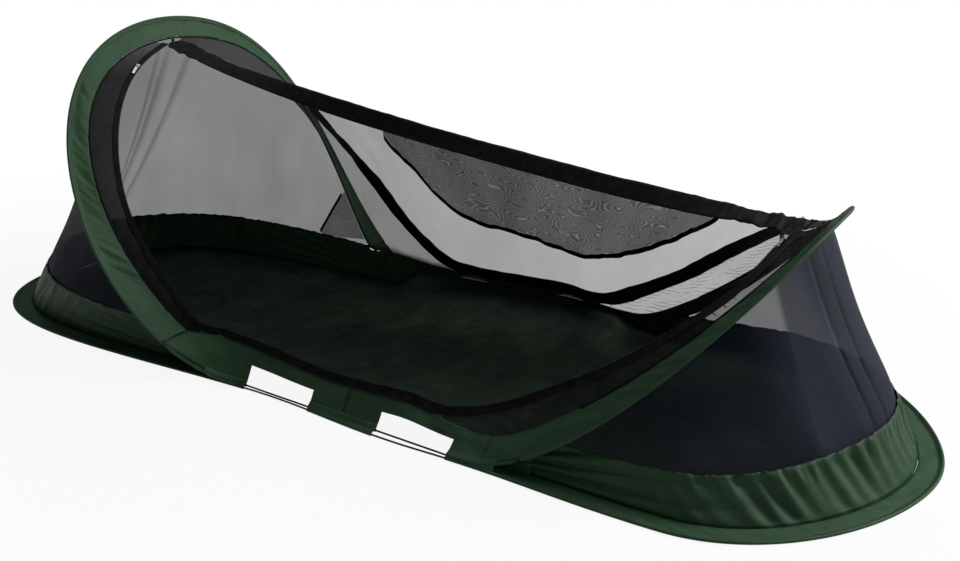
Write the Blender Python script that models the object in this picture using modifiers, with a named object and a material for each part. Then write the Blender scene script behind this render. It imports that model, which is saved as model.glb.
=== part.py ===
"""Pop-up mosquito net tent for one sleeper, as an assembly of separate pieces.

Two loops of spring wire carry it. The base loop lies on the ground in a flat band of cloth. The
hoop loop runs along both sides in a sleeve and rises over the head and over the feet as two arches,
which a ridge band ties together. Netting panels hang between the ridge, the arches and the base.
Metres, +X from the head end to the foot end, +Z up, the ground at Z = 0.
"""

import math

import bmesh
import bpy
import numpy as np
from mathutils import Matrix, Vector

# Sizes of stock
WIRE_RADIUS = 0.002
FERRULE_RADIUS = 0.003
FERRULE_LENGTH = 0.030
PIPING_RADIUS = 0.002
CLOTH = 0.0006
BAND_CLOTH = 0.0012
SEAM = 0.0004
GAP = 0.0004

# Base loop: half outline of its outer edge, near side, from the head tip to the foot tip
BASE_HALF_LENGTH = 1.15
HEAD_TIP_ROUND = 0.469
HEAD_WIDE_X = -0.200
HEAD_HALF_WIDTH = 0.384
MIDDLE_HALF_WIDTH = 0.423
FOOT_WIDE_X = 0.763
FOOT_HALF_WIDTH = 0.449
FOOT_TIP_ROUND = 0.186
TIP_EASE = 0.55
SIDE_EASE = 0.40
BASE_JOINT_ARCS = 1.9

# Hoop loop: where its legs leave the ground, inside the base loop, and its two apexes
HOOP_WIRE_Z = 0.0068
HEAD_LEG_X = -0.188
HEAD_LEG_INSET = 0.0082
HEAD_LEG_PULL = 0.355
HEAD_LEG_SPREAD = 0.076
HEAD_APEX_X = -0.720
HEAD_APEX_Z = 0.708
HEAD_SHOULDER = 0.576
HEAD_APEX_LEAN = 0.020
FOOT_LEG_X = 0.383
FOOT_LEG_INSET = 0.0056
FOOT_LEG_PULL = 0.220
FOOT_LEG_SPREAD = -0.020
FOOT_APEX_X = 0.927
FOOT_APEX_Z = 0.468
FOOT_SHOULDER = 0.280
FOOT_APEX_LEAN = 0.010

# Inner edge of the band on each arch: how far its curve's corner points lie from the wire's, on a near leg
HEAD_BAND_OFFSETS = [(-0.048, 0.078, -0.0068), (0.066, 0.085, 0.035), (0.028, 0.006, -0.053), (0.020, 0.0, -0.046)]
FOOT_BAND_OFFSETS = [(-0.063, 0.045, 0.0262), (-0.060, 0.033, 0.0062), (-0.035, 0.004, -0.036), (-0.036, 0.0, -0.030)]

# Top edge of the side band between the two arches: its x, how far inside the base loop it lies, and its height
SIDE_TOP = [
    (-0.285, 0.0468, 0.088),
    (-0.160, 0.0466, 0.075),
    (-0.035, 0.0419, 0.064),
    (0.060, 0.0461, 0.062),
    (0.146, 0.0542, 0.063),
    (0.220, 0.0595, 0.064),
    (0.300, 0.0572, 0.050),
    (0.390, 0.0579, 0.042),
    (0.460, 0.0726, 0.062),
]

# Where the arches hinge on the side bands, as a share of each leg's curve
HEAD_HINGE_SHARE = 0.20
FOOT_HINGE_SHARE = 0.14
FOOT_INNER_HINGE_SHARE = 0.33
HEAD_HINGE_CLEARANCE = 0.0014
FOOT_HINGE_CLEARANCE = 0.0048

# Windows in the sleeve, where the bare wires show
WINDOW_1 = (-0.188, -0.010)
WINDOW_2 = (0.165, 0.335)
WINDOW_SHARE = 0.52
SIDE_BAND_TRIM = 0.12
HOOP_JOINT_X = 0.250

# Ridge
RIDGE_HEAD_STEP = (-0.003, -0.014)
RIDGE_FOOT_STEP = (-0.005, -0.002)
RIDGE_SAG = 0.024
RIDGE_HALF_WIDTH = 0.041

# End walls of green cloth, and the flat band on the ground
BAND_WIDTH = 0.045
BAND_Z = 0.0016
GROUNDSHEET_TUCK = 0.010
HEAD_WALL_HEIGHT = 0.080
HEAD_WALL_RISE = 0.066
HEAD_WALL_RISE_WIDTH = 0.64
FOOT_WALL_HEIGHT = 0.062
FOOT_WALL_RISE = 0.042
FOOT_WALL_RISE_WIDTH = 0.50
HEAD_BAND_END_X = -0.270
FOOT_BAND_END_X = 0.430
HEAD_WALL_START_X = -0.320
HEAD_WALL_SPREAD = 1.9
FOOT_WALL_START_X = 0.470
FLOOR_FLAT_SHARE = 0.52
FLOOR_EDGE_SHARE = 0.48
FLOOR_LIFT_X = (-0.200, 0.345)
FLOOR_RAMP = 0.075
FLOOR_EDGE_GAP = 0.0024
FLOOR_TIP_GAP = 0.012

# Zips: tape width, and their paths down the side panels as (share along the hoop, share down from the ridge)
NEAR_TAPE_WIDTH = 0.024
FAR_TAPE_WIDTH = 0.030
DOOR_TAPE_WIDTH = 0.016
NEAR_ZIP = [(0.020, 0.50), (0.055, 0.62), (0.092, 0.717), (0.142, 0.80), (0.188, 0.858), (0.246, 0.915),
            (0.292, 0.930), (0.346, 0.950), (0.400, 1.0), (0.620, 1.0), (0.650, 0.950), (0.704, 0.875),
            (0.742, 0.867), (0.783, 0.875), (0.850, 0.865), (0.890, 0.86), (0.915, 0.78), (0.940, 0.45)]
FAR_ZIP = [(0.262, 0.0), (0.287, 0.183), (0.312, 0.283), (0.362, 0.358), (0.396, 0.508), (0.412, 0.667),
           (0.442, 0.808), (0.467, 0.942), (0.492, 1.0), (0.625, 1.0), (0.692, 0.808), (0.750, 0.758),
           (0.800, 0.683), (0.863, 0.600), (0.915, 0.52), (0.940, 0.45)]
TAPE_RUN = (0.045, 0.955)
FAR_ZIP_RUN = (0.275, 0.955)
DOOR_EDGE = [(0.380, 0.02), (0.396, 0.150), (0.412, 0.242), (0.433, 0.300), (0.463, 0.467), (0.500, 0.575),
             (0.550, 0.615), (0.625, 0.667), (0.655, 0.630), (0.708, 0.533), (0.767, 0.458), (0.821, 0.308),
             (0.845, 0.10)]
DOOR_START = 0.400
DOOR_END = 0.825
DOOR_LIFT = 0.0004
DOOR_FOLD_HEIGHT = 0.006
DOOR_FOLDS = 5

# Zip sliders and their pulls, which hang on a bridge over each slider
SLIDER_LENGTH = 0.012
SLIDER_WIDTH = 0.008
SLIDER_HEIGHT = 0.0045
BRIDGE_RADIUS = 0.0007
BRIDGE_LENGTH = 0.0076
PIN_RADIUS = 0.0006
PIN_CLEARANCE = 0.0004
PULL_LENGTH = 0.030
PULL_WIDTH = 0.0058
PULL_THICKNESS = 0.0012
PULL_EYE_WIDTH = 0.0034
PULL_EYE_LENGTH = 0.0064

# Ties between the ridge and the apexes
TIE_WIDTH = 0.010
TIE_THICKNESS = 0.0012
TIE_SEAM = 0.0030

# Corner pocket: the heights of its corners on the piping, and its third corner by the head wall
POCKET_LOW_Z = 0.100
POCKET_TOP_Z = 0.260
POCKET_WALL_CORNER = (-0.3535, -0.0258, 0.0892)
POCKET_TURN = 50.0
POCKET_BLUNT = 0.010
POCKET_BINDING = 0.008

# How finely the curves are cut
HEAD_LEG_STEPS = 14
LOW_LEG_STEPS = 4
FOOT_LEG_STEPS = 14
SIDE_STATIONS = [
    HEAD_LEG_X,
    (WINDOW_1[0] + WINDOW_1[1]) / 2,
    WINDOW_1[1],
    (2 * WINDOW_1[1] + WINDOW_2[0]) / 3,
    (WINDOW_1[1] + 2 * WINDOW_2[0]) / 3,
    WINDOW_2[0],
    (WINDOW_2[0] + WINDOW_2[1]) / 2,
    WINDOW_2[1],
    FOOT_LEG_X,
]
NET_ROWS = 5
DOOR_ROWS = 8
OUTLINE_STEPS = 14
FLOOR_END_STEPS = 8

for thing in list(bpy.data.objects):
    bpy.data.objects.remove(thing, do_unlink=True)

tent = bpy.data.collections.new("mosquito_net_tent")
cutters = bpy.data.collections.new("tent_cutters")
bpy.context.scene.collection.children.link(tent)
bpy.context.scene.collection.children.link(cutters)


def finish(name, colour, roughness, metallic=0.0):
    """A plain material of one colour."""
    material = bpy.data.materials.new(name)
    material.use_nodes = True
    shader = material.node_tree.nodes["Principled BSDF"]
    shader.inputs["Base Color"].default_value = (*colour, 1.0)
    shader.inputs["Roughness"].default_value = roughness
    shader.inputs["Metallic"].default_value = metallic
    return material


GREEN = finish("green_nylon", (0.060, 0.130, 0.072), 0.62)
BLACK = finish("black_tape", (0.012, 0.012, 0.013), 0.70)
NET = finish("black_netting", (0.030, 0.030, 0.034), 0.80)
FLOOR = finish("groundsheet_cloth", (0.020, 0.034, 0.026), 0.55)
STEEL = finish("spring_steel", (0.050, 0.050, 0.052), 0.35, 0.9)
SILVER = finish("zinc_slider", (0.750, 0.750, 0.750), 0.30, 0.9)


def bezier(corners, shares):
    """Points on a cubic curve at the given shares of its run."""
    a, b, c, d = (np.array(corner, float) for corner in corners)
    t = np.asarray(shares, float)[:, None]
    return (1 - t) ** 3 * a + 3 * (1 - t) ** 2 * t * b + 3 * (1 - t) * t * t * c + t ** 3 * d


def mirrored(points):
    """The same points on the other side of the tent."""
    flipped = np.array(points, float)
    flipped[:, 1] *= -1.0
    return flipped


def lengths(points):
    """Distance run along a line of points, from 0."""
    return np.concatenate([[0.0], np.cumsum(np.linalg.norm(np.diff(points, axis=0), axis=1))])


def along(points, run):
    """Points at the given distances along a line of points."""
    marks = lengths(points)
    return np.stack([np.interp(run, marks, points[:, k]) for k in range(points.shape[1])], axis=1)


def smooth_line(controls, count):
    """A smooth curve through all its control points, cut evenly."""
    points = np.array(controls, float)
    padded = np.vstack([2 * points[0] - points[1], points, 2 * points[-1] - points[-2]])
    cut = []
    for k in range(len(points) - 1):
        p0, p1, p2, p3 = padded[k : k + 4]
        for t in np.arange(0, 1, 0.05):
            cut.append(
                0.5 * (2 * p1 + (p2 - p0) * t + (2 * p0 - 5 * p1 + 4 * p2 - p3) * t * t
                       + (3 * p1 - p0 - 3 * p2 + p3) * t ** 3)
            )
    cut.append(points[-1])
    cut = np.array(cut)
    return along(cut, np.linspace(0, lengths(cut)[-1], count))


def toward(start, end, distance):
    """From each start point, a distance along the way to its end point."""
    way = end - start
    size = np.linalg.norm(way, axis=1)[:, None]
    return start + way / size * np.broadcast_to(np.reshape(distance, (-1, 1)), size.shape)


def slant(line, target):
    """How squarely the way to a target line leaves a line: 1 where it is square to it."""
    way = target - line
    way /= np.linalg.norm(way, axis=1)[:, None]
    run = np.gradient(line, axis=0)
    run /= np.linalg.norm(run, axis=1)[:, None]
    return np.sqrt(np.maximum(1 - np.sum(way * run, axis=1) ** 2, 0.09))


def set_off(line, target, distance):
    """A line beside another one, at a distance from it on the side of a target line."""
    return toward(line, target, distance / slant(line, target))


def link(obj, material):
    """Puts a made object in the tent's collection with its material."""
    obj.data.materials.clear()
    obj.data.materials.append(material)
    for home in list(obj.users_collection):
        home.objects.unlink(obj)
    tent.objects.link(obj)
    return obj


def cloth(name, rows, material, thickness=CLOTH, holes=()):
    """A sheet lofted through rows of points, with a wall's thickness. Holes are (first column, last
    column, first row, last row) of faces left out."""
    grid = np.stack(rows)
    row_count, column_count = grid.shape[:2]
    mesh = bpy.data.meshes.new(name)
    shape = bmesh.new()
    bmesh.ops.create_grid(shape, x_segments=column_count - 1, y_segments=row_count - 1, size=1.0)
    open_faces = []
    for face in shape.faces:
        middle = face.calc_center_median()
        column = int((middle.x + 1) / 2 * (column_count - 1))
        row = int((middle.y + 1) / 2 * (row_count - 1))
        for first, last, low, high in holes:
            if first <= column < last and low <= row < high:
                open_faces.append(face)
    for vertex in shape.verts:
        column = round((vertex.co.x + 1) / 2 * (column_count - 1))
        row = round((vertex.co.y + 1) / 2 * (row_count - 1))
        vertex.co = grid[row, column]
    bmesh.ops.delete(shape, geom=open_faces, context="FACES")
    shape.to_mesh(mesh)
    shape.free()
    obj = link(bpy.data.objects.new(name, mesh), material)
    wall = obj.modifiers.new("wall", "SOLIDIFY")
    wall.thickness = thickness
    wall.offset = 0.0
    mesh.shade_smooth()
    return obj


def tube(name, points, radius, material):
    """A wire or cord along a line of points, with closed ends."""
    curve = bpy.data.curves.new(name, "CURVE")
    curve.dimensions = "3D"
    curve.bevel_depth = radius
    curve.bevel_resolution = 2
    curve.use_fill_caps = True
    spline = curve.splines.new("POLY")
    spline.points.add(len(points) - 1)
    for point, place in zip(spline.points, points):
        point.co = (*place, 1.0)
    return link(bpy.data.objects.new(name, curve), material)


def both_ends(near_leg):
    """A line of points over an arch: up the near leg, over the apex and down the far leg."""
    return np.vstack([near_leg, mirrored(near_leg)[-2::-1]])


def trimmed(points, start=0.0, end=0.0):
    """A line of points cut short at its two ends."""
    total = lengths(points)[-1]
    marks = lengths(points)
    inner = points[(marks > start + 0.001) & (marks < total - end - 0.001)]
    return np.vstack([along(points, [start]), inner, along(points, [total - end])])


# Base loop: its outline and lines set in from it

def base_outline():
    """Outer edge of the base loop, all the way round from the head tip by the near side."""
    middle_x = (HEAD_WIDE_X + FOOT_WIDE_X) / 2
    head_reach = HEAD_WIDE_X + BASE_HALF_LENGTH
    foot_reach = BASE_HALF_LENGTH - FOOT_WIDE_X
    head_side = middle_x - HEAD_WIDE_X
    foot_side = FOOT_WIDE_X - middle_x
    arcs = [
        [(-BASE_HALF_LENGTH, 0), (-BASE_HALF_LENGTH, HEAD_TIP_ROUND),
         (HEAD_WIDE_X - TIP_EASE * head_reach, HEAD_HALF_WIDTH), (HEAD_WIDE_X, HEAD_HALF_WIDTH)],
        [(HEAD_WIDE_X, HEAD_HALF_WIDTH), (HEAD_WIDE_X + SIDE_EASE * head_side, HEAD_HALF_WIDTH),
         (middle_x - SIDE_EASE * head_side, MIDDLE_HALF_WIDTH), (middle_x, MIDDLE_HALF_WIDTH)],
        [(middle_x, MIDDLE_HALF_WIDTH), (middle_x + SIDE_EASE * foot_side, MIDDLE_HALF_WIDTH),
         (FOOT_WIDE_X - SIDE_EASE * foot_side, FOOT_HALF_WIDTH), (FOOT_WIDE_X, FOOT_HALF_WIDTH)],
        [(FOOT_WIDE_X, FOOT_HALF_WIDTH), (FOOT_WIDE_X + TIP_EASE * foot_reach, FOOT_HALF_WIDTH),
         (BASE_HALF_LENGTH, FOOT_TIP_ROUND), (BASE_HALF_LENGTH, 0)],
    ]
    half = []
    for arc in arcs:
        corners = [(x, -y, 0.0) for x, y in arc]
        half.append(bezier(corners, np.linspace(0, 1, OUTLINE_STEPS + 1))[:-1])
    near = np.vstack(half)
    far = mirrored(near)[1:][::-1]
    foot_tip = np.array([[BASE_HALF_LENGTH, 0.0, 0.0]])
    return np.vstack([near, foot_tip, far])


OUTLINE = base_outline()
HALF_COUNT = len(OUTLINE) // 2 + 1


def inset(distance, height):
    """The base outline set in by a distance, at a height, as a closed run that starts at the head tip."""
    after = np.roll(OUTLINE, -1, axis=0)
    before = np.roll(OUTLINE, 1, axis=0)
    run = after - before
    inward = np.stack([-run[:, 1], run[:, 0], 0 * run[:, 0]], axis=1)
    inward /= np.linalg.norm(inward, axis=1)[:, None]
    line = OUTLINE + inward * distance
    line[:, 2] = height
    return line


def end_run(line, limit_x, head):
    """The part of a closed base line round one end, from the near side to the far side."""
    if head:
        whole = np.vstack([line[HALF_COUNT - 1 :], line[:HALF_COUNT]])[::-1]
        kept = whole[whole[:, 0] < limit_x]
    else:
        kept = line[line[:, 0] > limit_x]
    return kept


# Hoop loop, ridge and inner edge, as matching columns from the head apex to the foot apex


def outline_y(x):
    """Half width of the base loop at a place along it."""
    return np.interp(x, OUTLINE[:HALF_COUNT, 0], -OUTLINE[:HALF_COUNT, 1])


HEAD_LEG_Y = outline_y(HEAD_LEG_X) - HEAD_LEG_INSET
FOOT_LEG_Y = outline_y(FOOT_LEG_X) - FOOT_LEG_INSET
HEAD_CURVE = [
    (HEAD_LEG_X, -HEAD_LEG_Y, HOOP_WIRE_Z),
    (HEAD_LEG_X - HEAD_LEG_PULL, -(HEAD_LEG_Y + HEAD_LEG_SPREAD), HOOP_WIRE_Z),
    (HEAD_APEX_X + HEAD_APEX_LEAN, -HEAD_SHOULDER, HEAD_APEX_Z),
    (HEAD_APEX_X, 0.0, HEAD_APEX_Z),
]
FOOT_CURVE = [
    (FOOT_LEG_X, -FOOT_LEG_Y, HOOP_WIRE_Z),
    (FOOT_LEG_X + FOOT_LEG_PULL, -(FOOT_LEG_Y + FOOT_LEG_SPREAD), HOOP_WIRE_Z),
    (FOOT_APEX_X - FOOT_APEX_LEAN, -FOOT_SHOULDER, FOOT_APEX_Z),
    (FOOT_APEX_X, 0.0, FOOT_APEX_Z),
]
head_shares = np.linspace(1, HEAD_HINGE_SHARE, HEAD_LEG_STEPS + 1)
low_head_shares = np.linspace(HEAD_HINGE_SHARE, 0, LOW_LEG_STEPS + 1)[1:]
low_foot_shares = np.linspace(0, FOOT_HINGE_SHARE, LOW_LEG_STEPS)[1:]
foot_shares = np.linspace(FOOT_HINGE_SHARE, 1, FOOT_LEG_STEPS + 1)

side_x = np.array(SIDE_STATIONS[1:])
side_share = (side_x - HEAD_LEG_X) / (FOOT_LEG_X - HEAD_LEG_X)
side_run = np.stack(
    [side_x, -(HEAD_LEG_Y + (FOOT_LEG_Y - HEAD_LEG_Y) * side_share), 0 * side_x + HOOP_WIRE_Z], axis=1
)
WIRE = np.vstack([
    bezier(HEAD_CURVE, head_shares),
    bezier(HEAD_CURVE, low_head_shares),
    side_run,
    bezier(FOOT_CURVE, low_foot_shares),
    bezier(FOOT_CURVE, foot_shares[1:]),
])
HEAD_HINGE = HEAD_LEG_STEPS
FOOT_HINGE = HEAD_HINGE + LOW_LEG_STEPS + len(side_x) + len(low_foot_shares)
LAST = len(WIRE) - 1

head_inner = bezier(np.array(HEAD_CURVE) + np.array(HEAD_BAND_OFFSETS), head_shares)
inner_shares = np.linspace(FOOT_INNER_HINGE_SHARE, 1, FOOT_LEG_STEPS + 1)
foot_inner = bezier(np.array(FOOT_CURVE) + np.array(FOOT_BAND_OFFSETS), inner_shares)
side_top = [(x, distance - outline_y(x), z) for x, distance, z in SIDE_TOP]
side_controls = [head_inner[-2], head_inner[-1], *side_top, foot_inner[0], foot_inner[1]]
side_top = smooth_line(side_controls, 400)
start = np.argmin(np.linalg.norm(side_top - head_inner[-1], axis=1))
stop = np.argmin(np.linalg.norm(side_top - foot_inner[0], axis=1))
side_top = side_top[start : stop + 1]
low_x = WIRE[HEAD_HINGE : FOOT_HINGE + 1, 0]
edge_x = np.interp(
    low_x, [low_x[0], HEAD_LEG_X, WINDOW_2[1], low_x[-1]], [side_top[0, 0], HEAD_LEG_X, WINDOW_2[1], side_top[-1, 0]]
)
side_inner = np.stack([np.interp(edge_x, side_top[:, 0], side_top[:, k]) for k in range(3)], axis=1)
EDGE = np.vstack([head_inner[:-1], side_inner, foot_inner[1:]])
SHARE = lengths(EDGE) / lengths(EDGE)[-1]

RIDGE_HEAD_X = head_inner[0][0] + RIDGE_HEAD_STEP[0]
RIDGE_HEAD_Z = head_inner[0][2] + RIDGE_HEAD_STEP[1]
RIDGE_FOOT_X = foot_inner[-1][0] + RIDGE_FOOT_STEP[0]
RIDGE_FOOT_Z = foot_inner[-1][2] + RIDGE_FOOT_STEP[1]


def ridge_height(x):
    """Height of the ridge line, which sags between the two apexes."""
    share = (x - RIDGE_HEAD_X) / (RIDGE_FOOT_X - RIDGE_HEAD_X)
    return RIDGE_HEAD_Z + (RIDGE_FOOT_Z - RIDGE_HEAD_Z) * share - 4 * RIDGE_SAG * share * (1 - share)


ridge_share = 0.35 * SHARE * SHARE * (3 - 2 * SHARE) + 0.65 * SHARE
ridge_x = RIDGE_HEAD_X + (RIDGE_FOOT_X - RIDGE_HEAD_X) * ridge_share
RIDGE = np.stack([ridge_x, 0 * ridge_x, ridge_height(ridge_x)], axis=1)
DEPTH = np.linalg.norm(EDGE - RIDGE, axis=1)
on_arch = (np.arange(LAST + 1) <= HEAD_HINGE) | (np.arange(LAST + 1) >= FOOT_HINGE)
PIPED = np.where(on_arch, PIPING_RADIUS, 0.0)
RIDGE_WIDTH = np.minimum(RIDGE_HALF_WIDTH, 0.45 * DEPTH)


def down(distance, first, last):
    """Points on the near side panel at a distance down from the ridge, over a range of columns."""
    run = np.broadcast_to(distance, (LAST + 1,))[first : last + 1]
    return toward(RIDGE[first : last + 1], EDGE[first : last + 1], run)


def panel_rows(top, bottom, first, last, count):
    """Rows of points on the near side panel between two lines given as distances from the ridge."""
    return [down(top + (bottom - top) * k / count, first, last) for k in range(count + 1)]


def path_depth(path):
    """Distance down from the ridge of a zip's middle, at each column."""
    shares, downs = zip(*path)
    return np.interp(SHARE, shares, downs) * DEPTH


def columns_between(low, high):
    """First and last column between two shares of the way along the hoop."""
    inside = np.flatnonzero((SHARE >= low) & (SHARE <= high))
    return inside[0], inside[-1]


FLOOR_LINE = DEPTH - (PIPED + SEAM) / slant(EDGE, RIDGE)
CEILING_LINE = RIDGE_WIDTH + SEAM


def tape_lines(path, width):
    """Top and bottom of a zip tape as distances from the ridge, kept clear of the ridge and the edge."""
    half = width / 2
    middle = np.clip(path_depth(path), CEILING_LINE + GAP + half, FLOOR_LINE - GAP - half)
    return middle - half, middle + half


# Base wire and the ferrule that joins its ends, on the far side

wire_line = inset(WIRE_RADIUS, FERRULE_RADIUS + GAP / 2)
joint_index = HALF_COUNT + int(BASE_JOINT_ARCS * OUTLINE_STEPS)
loop = np.vstack([wire_line[joint_index:], wire_line[: joint_index + 1]])
half_ferrule = FERRULE_LENGTH / 2
tube("base_wire", trimmed(loop, half_ferrule + GAP, half_ferrule + GAP), WIRE_RADIUS, STEEL)
ferrule_run = np.vstack([along(loop[::-1], [half_ferrule])[0], along(loop, [half_ferrule])[0]])
tube("base_ferrule", ferrule_run, FERRULE_RADIUS, STEEL)

# Side stretches of the hoop wire, which lie in the sleeves, with the hoop's own ferrule on the far side

low_wire = WIRE[HEAD_HINGE : FOOT_HINGE + 1]
low_wire = trimmed(low_wire, HEAD_HINGE_CLEARANCE, FOOT_HINGE_CLEARANCE)
tube("near_side_wire", low_wire, WIRE_RADIUS, STEEL)
far_wire = mirrored(low_wire)
far_length = lengths(far_wire)[-1]
seam_mark = np.interp(HOOP_JOINT_X, far_wire[:, 0], lengths(far_wire))
tube("far_side_wire_head", trimmed(far_wire, 0, far_length - seam_mark + half_ferrule + GAP), WIRE_RADIUS, STEEL)
tube("far_side_wire_foot", trimmed(far_wire, seam_mark + half_ferrule + GAP, 0), WIRE_RADIUS, STEEL)
ferrule_marks = [seam_mark - half_ferrule, seam_mark + half_ferrule]
tube("hoop_ferrule", along(far_wire, ferrule_marks), FERRULE_RADIUS, STEEL)

# Arch wires, their piping and their bands

head_leg = WIRE[HEAD_HINGE::-1]
foot_leg = WIRE[FOOT_HINGE:]
for name, leg, clearance in [("head", head_leg, HEAD_HINGE_CLEARANCE), ("foot", foot_leg, FOOT_HINGE_CLEARANCE)]:
    tube(f"{name}_arch_wire", trimmed(both_ends(leg), clearance, clearance), WIRE_RADIUS, STEEL)


def arch_band(name, outer_leg, inner_leg, clearance):
    """The flat band over an arch, between its wire and its piping, cut short at the hinge."""
    outer = set_off(outer_leg, inner_leg, WIRE_RADIUS + SEAM)
    inner = set_off(inner_leg, outer_leg, PIPING_RADIUS + SEAM)
    lines = []
    for share in (0, 0.5, 1):
        line = outer + (inner - outer) * share
        step = line[1] - line[0]
        line[0] += step / np.linalg.norm(step) * clearance
        lines.append(both_ends(line))
    return cloth(f"{name}_arch_band", lines, GREEN)


head_inner_leg = EDGE[HEAD_HINGE::-1]
foot_inner_leg = EDGE[FOOT_HINGE:]
arch_band("head", head_leg, head_inner_leg, HEAD_HINGE_CLEARANCE)
arch_band("foot", foot_leg, foot_inner_leg, FOOT_HINGE_CLEARANCE)
tube("head_arch_piping", trimmed(both_ends(head_inner_leg), GAP, GAP), PIPING_RADIUS, BLACK)
tube("foot_arch_piping", trimmed(both_ends(foot_inner_leg), GAP, GAP), PIPING_RADIUS, BLACK)

# Side bands with the two windows in their sleeves

side_columns = np.arange(HEAD_HINGE, FOOT_HINGE + 1)
side_low = set_off(WIRE[side_columns], EDGE[side_columns], WIRE_RADIUS + SEAM)
side_high = set_off(EDGE[side_columns], WIRE[side_columns], SEAM)
side_high[0] += (side_high[1] - side_high[0]) * SIDE_BAND_TRIM
side_low[0] += (side_low[1] - side_low[0]) * SIDE_BAND_TRIM
side_high[-1] += (side_high[-2] - side_high[-1]) * SIDE_BAND_TRIM
side_low[-1] += (side_low[-2] - side_low[-1]) * SIDE_BAND_TRIM
side_rows = [side_low + (side_high - side_low) * share for share in (0, WINDOW_SHARE / 2, WINDOW_SHARE, 0.76, 1)]
windows = []
for low_x, high_x in (WINDOW_1, WINDOW_2):
    first = int(np.argmin(np.abs(WIRE[side_columns, 0] - low_x)))
    last = int(np.argmin(np.abs(WIRE[side_columns, 0] - high_x)))
    windows.append((first, last, 0, 2))
cloth("near_side_band", side_rows, GREEN, holes=windows)
cloth("far_side_band", [mirrored(row) for row in side_rows], GREEN, holes=windows)

# Flat bands on the ground round both ends, over the edge of the groundsheet

for name, limit, is_head in [("head", HEAD_BAND_END_X, True), ("foot", FOOT_BAND_END_X, False)]:
    outer = inset(2 * WIRE_RADIUS + SEAM + GAP, BAND_Z)
    inner = inset(BAND_WIDTH, BAND_Z)
    kept = end_run(np.hstack([outer, inner]), limit, is_head)
    cloth(f"{name}_base_band", [kept[:, :3], kept[:, 3:]], GREEN, BAND_CLOTH)

# Groundsheet: flat on the ground, and raised at both sides to the seam above the windows

tuck_line = inset(BAND_WIDTH - GROUNDSHEET_TUCK, 0.0)[:HALF_COUNT]
seam_line = WIRE[side_columns] + (EDGE[side_columns] - WIRE[side_columns]) * FLOOR_EDGE_SHARE
lift_head, lift_foot = FLOOR_LIFT_X
seam_x = seam_line[:, 0]
floor_x = np.concatenate([
    np.linspace(tuck_line[0, 0] + FLOOR_TIP_GAP, lift_head - FLOOR_RAMP, FLOOR_END_STEPS),
    [lift_head - FLOOR_RAMP / 2],
    seam_x[(seam_x > lift_head) & (seam_x < lift_foot)],
    [lift_foot + FLOOR_RAMP / 2],
    np.linspace(lift_foot + FLOOR_RAMP, tuck_line[-1, 0] - FLOOR_TIP_GAP, FLOOR_END_STEPS),
])
order = np.argsort(tuck_line[:, 0])
floor_edge_y = np.interp(floor_x, tuck_line[order, 0], tuck_line[order, 1])
raised_y = np.interp(floor_x, seam_line[:, 0], seam_line[:, 1]) + FLOOR_EDGE_GAP
raised_z = np.interp(floor_x, seam_line[:, 0], seam_line[:, 2])
rise = np.clip((floor_x - lift_head + FLOOR_RAMP) / FLOOR_RAMP, 0, 1)
fall = np.clip((lift_foot + FLOOR_RAMP - floor_x) / FLOOR_RAMP, 0, 1)
lift = (rise * rise * (3 - 2 * rise)) * (fall * fall * (3 - 2 * fall))
edge_y = floor_edge_y * (1 - lift) + raised_y * lift
floor_rows = []
for share in [-1.0, -0.87, -0.74, -0.62, -FLOOR_FLAT_SHARE, FLOOR_FLAT_SHARE, 0.62, 0.74, 0.87, 1.0]:
    climb = max(0.0, (abs(share) - FLOOR_FLAT_SHARE) / (1 - FLOOR_FLAT_SHARE))
    height = CLOTH / 2 + raised_z * lift * climb ** 1.6
    floor_rows.append(np.stack([floor_x, -edge_y * share, height], axis=1))
cloth("groundsheet", floor_rows, FLOOR)

# End panels: a low green wall from the ground band, and netting from the wall up to the arch wire

def end_panel(name, leg_columns, start_x, is_head, spread, height_of):
    """The wall and the net of one end, on straight lines from the ground band to the arch band."""
    top = both_ends(EDGE[leg_columns])
    ground = end_run(inset(BAND_WIDTH + SEAM, BAND_Z + BAND_CLOTH / 2 + GAP), start_x, is_head)
    top_marks = lengths(top)
    around = 2 * top_marks / top_marks[-1] - 1
    bottom_share = (1 + np.sign(around) * np.abs(around) ** spread) / 2
    bottom = along(ground, bottom_share * lengths(ground)[-1])
    hem = set_off(top, bottom, PIPING_RADIUS + SEAM)
    full = hem[:, 2] - bottom[:, 2]
    share = np.minimum(1.0, height_of(around) / full)
    line = bottom + (hem - bottom) * share[:, None]
    cloth(f"{name}_wall", [bottom + (line - bottom) * k / 3 for k in range(4)], GREEN)
    netted = np.flatnonzero(full * (1 - share) > 0.012)
    first, last = netted[0], netted[-1]
    low = toward(line[first : last + 1], hem[first : last + 1], SEAM * 2)
    high = hem[first : last + 1]
    cloth(f"{name}_end_net", [low + (high - low) * k / NET_ROWS for k in range(NET_ROWS + 1)], NET)


def wall_height(low, rise, width):
    """A wall that is highest round the tip."""
    return lambda around: low + rise * np.exp(-((around / width) ** 2))


head_wall_columns = np.arange(HEAD_HINGE + LOW_LEG_STEPS // 2, -1, -1)
foot_wall_columns = np.arange(FOOT_HINGE - 1, LAST + 1)
end_panel("head", head_wall_columns, HEAD_WALL_START_X, True, HEAD_WALL_SPREAD,
          wall_height(HEAD_WALL_HEIGHT, HEAD_WALL_RISE, HEAD_WALL_RISE_WIDTH))
end_panel("foot", foot_wall_columns, FOOT_WALL_START_X, False, 1.0,
          wall_height(FOOT_WALL_HEIGHT, FOOT_WALL_RISE, FOOT_WALL_RISE_WIDTH))

# Ridge band, draped over the ridge line, and its ties to the apexes

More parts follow.
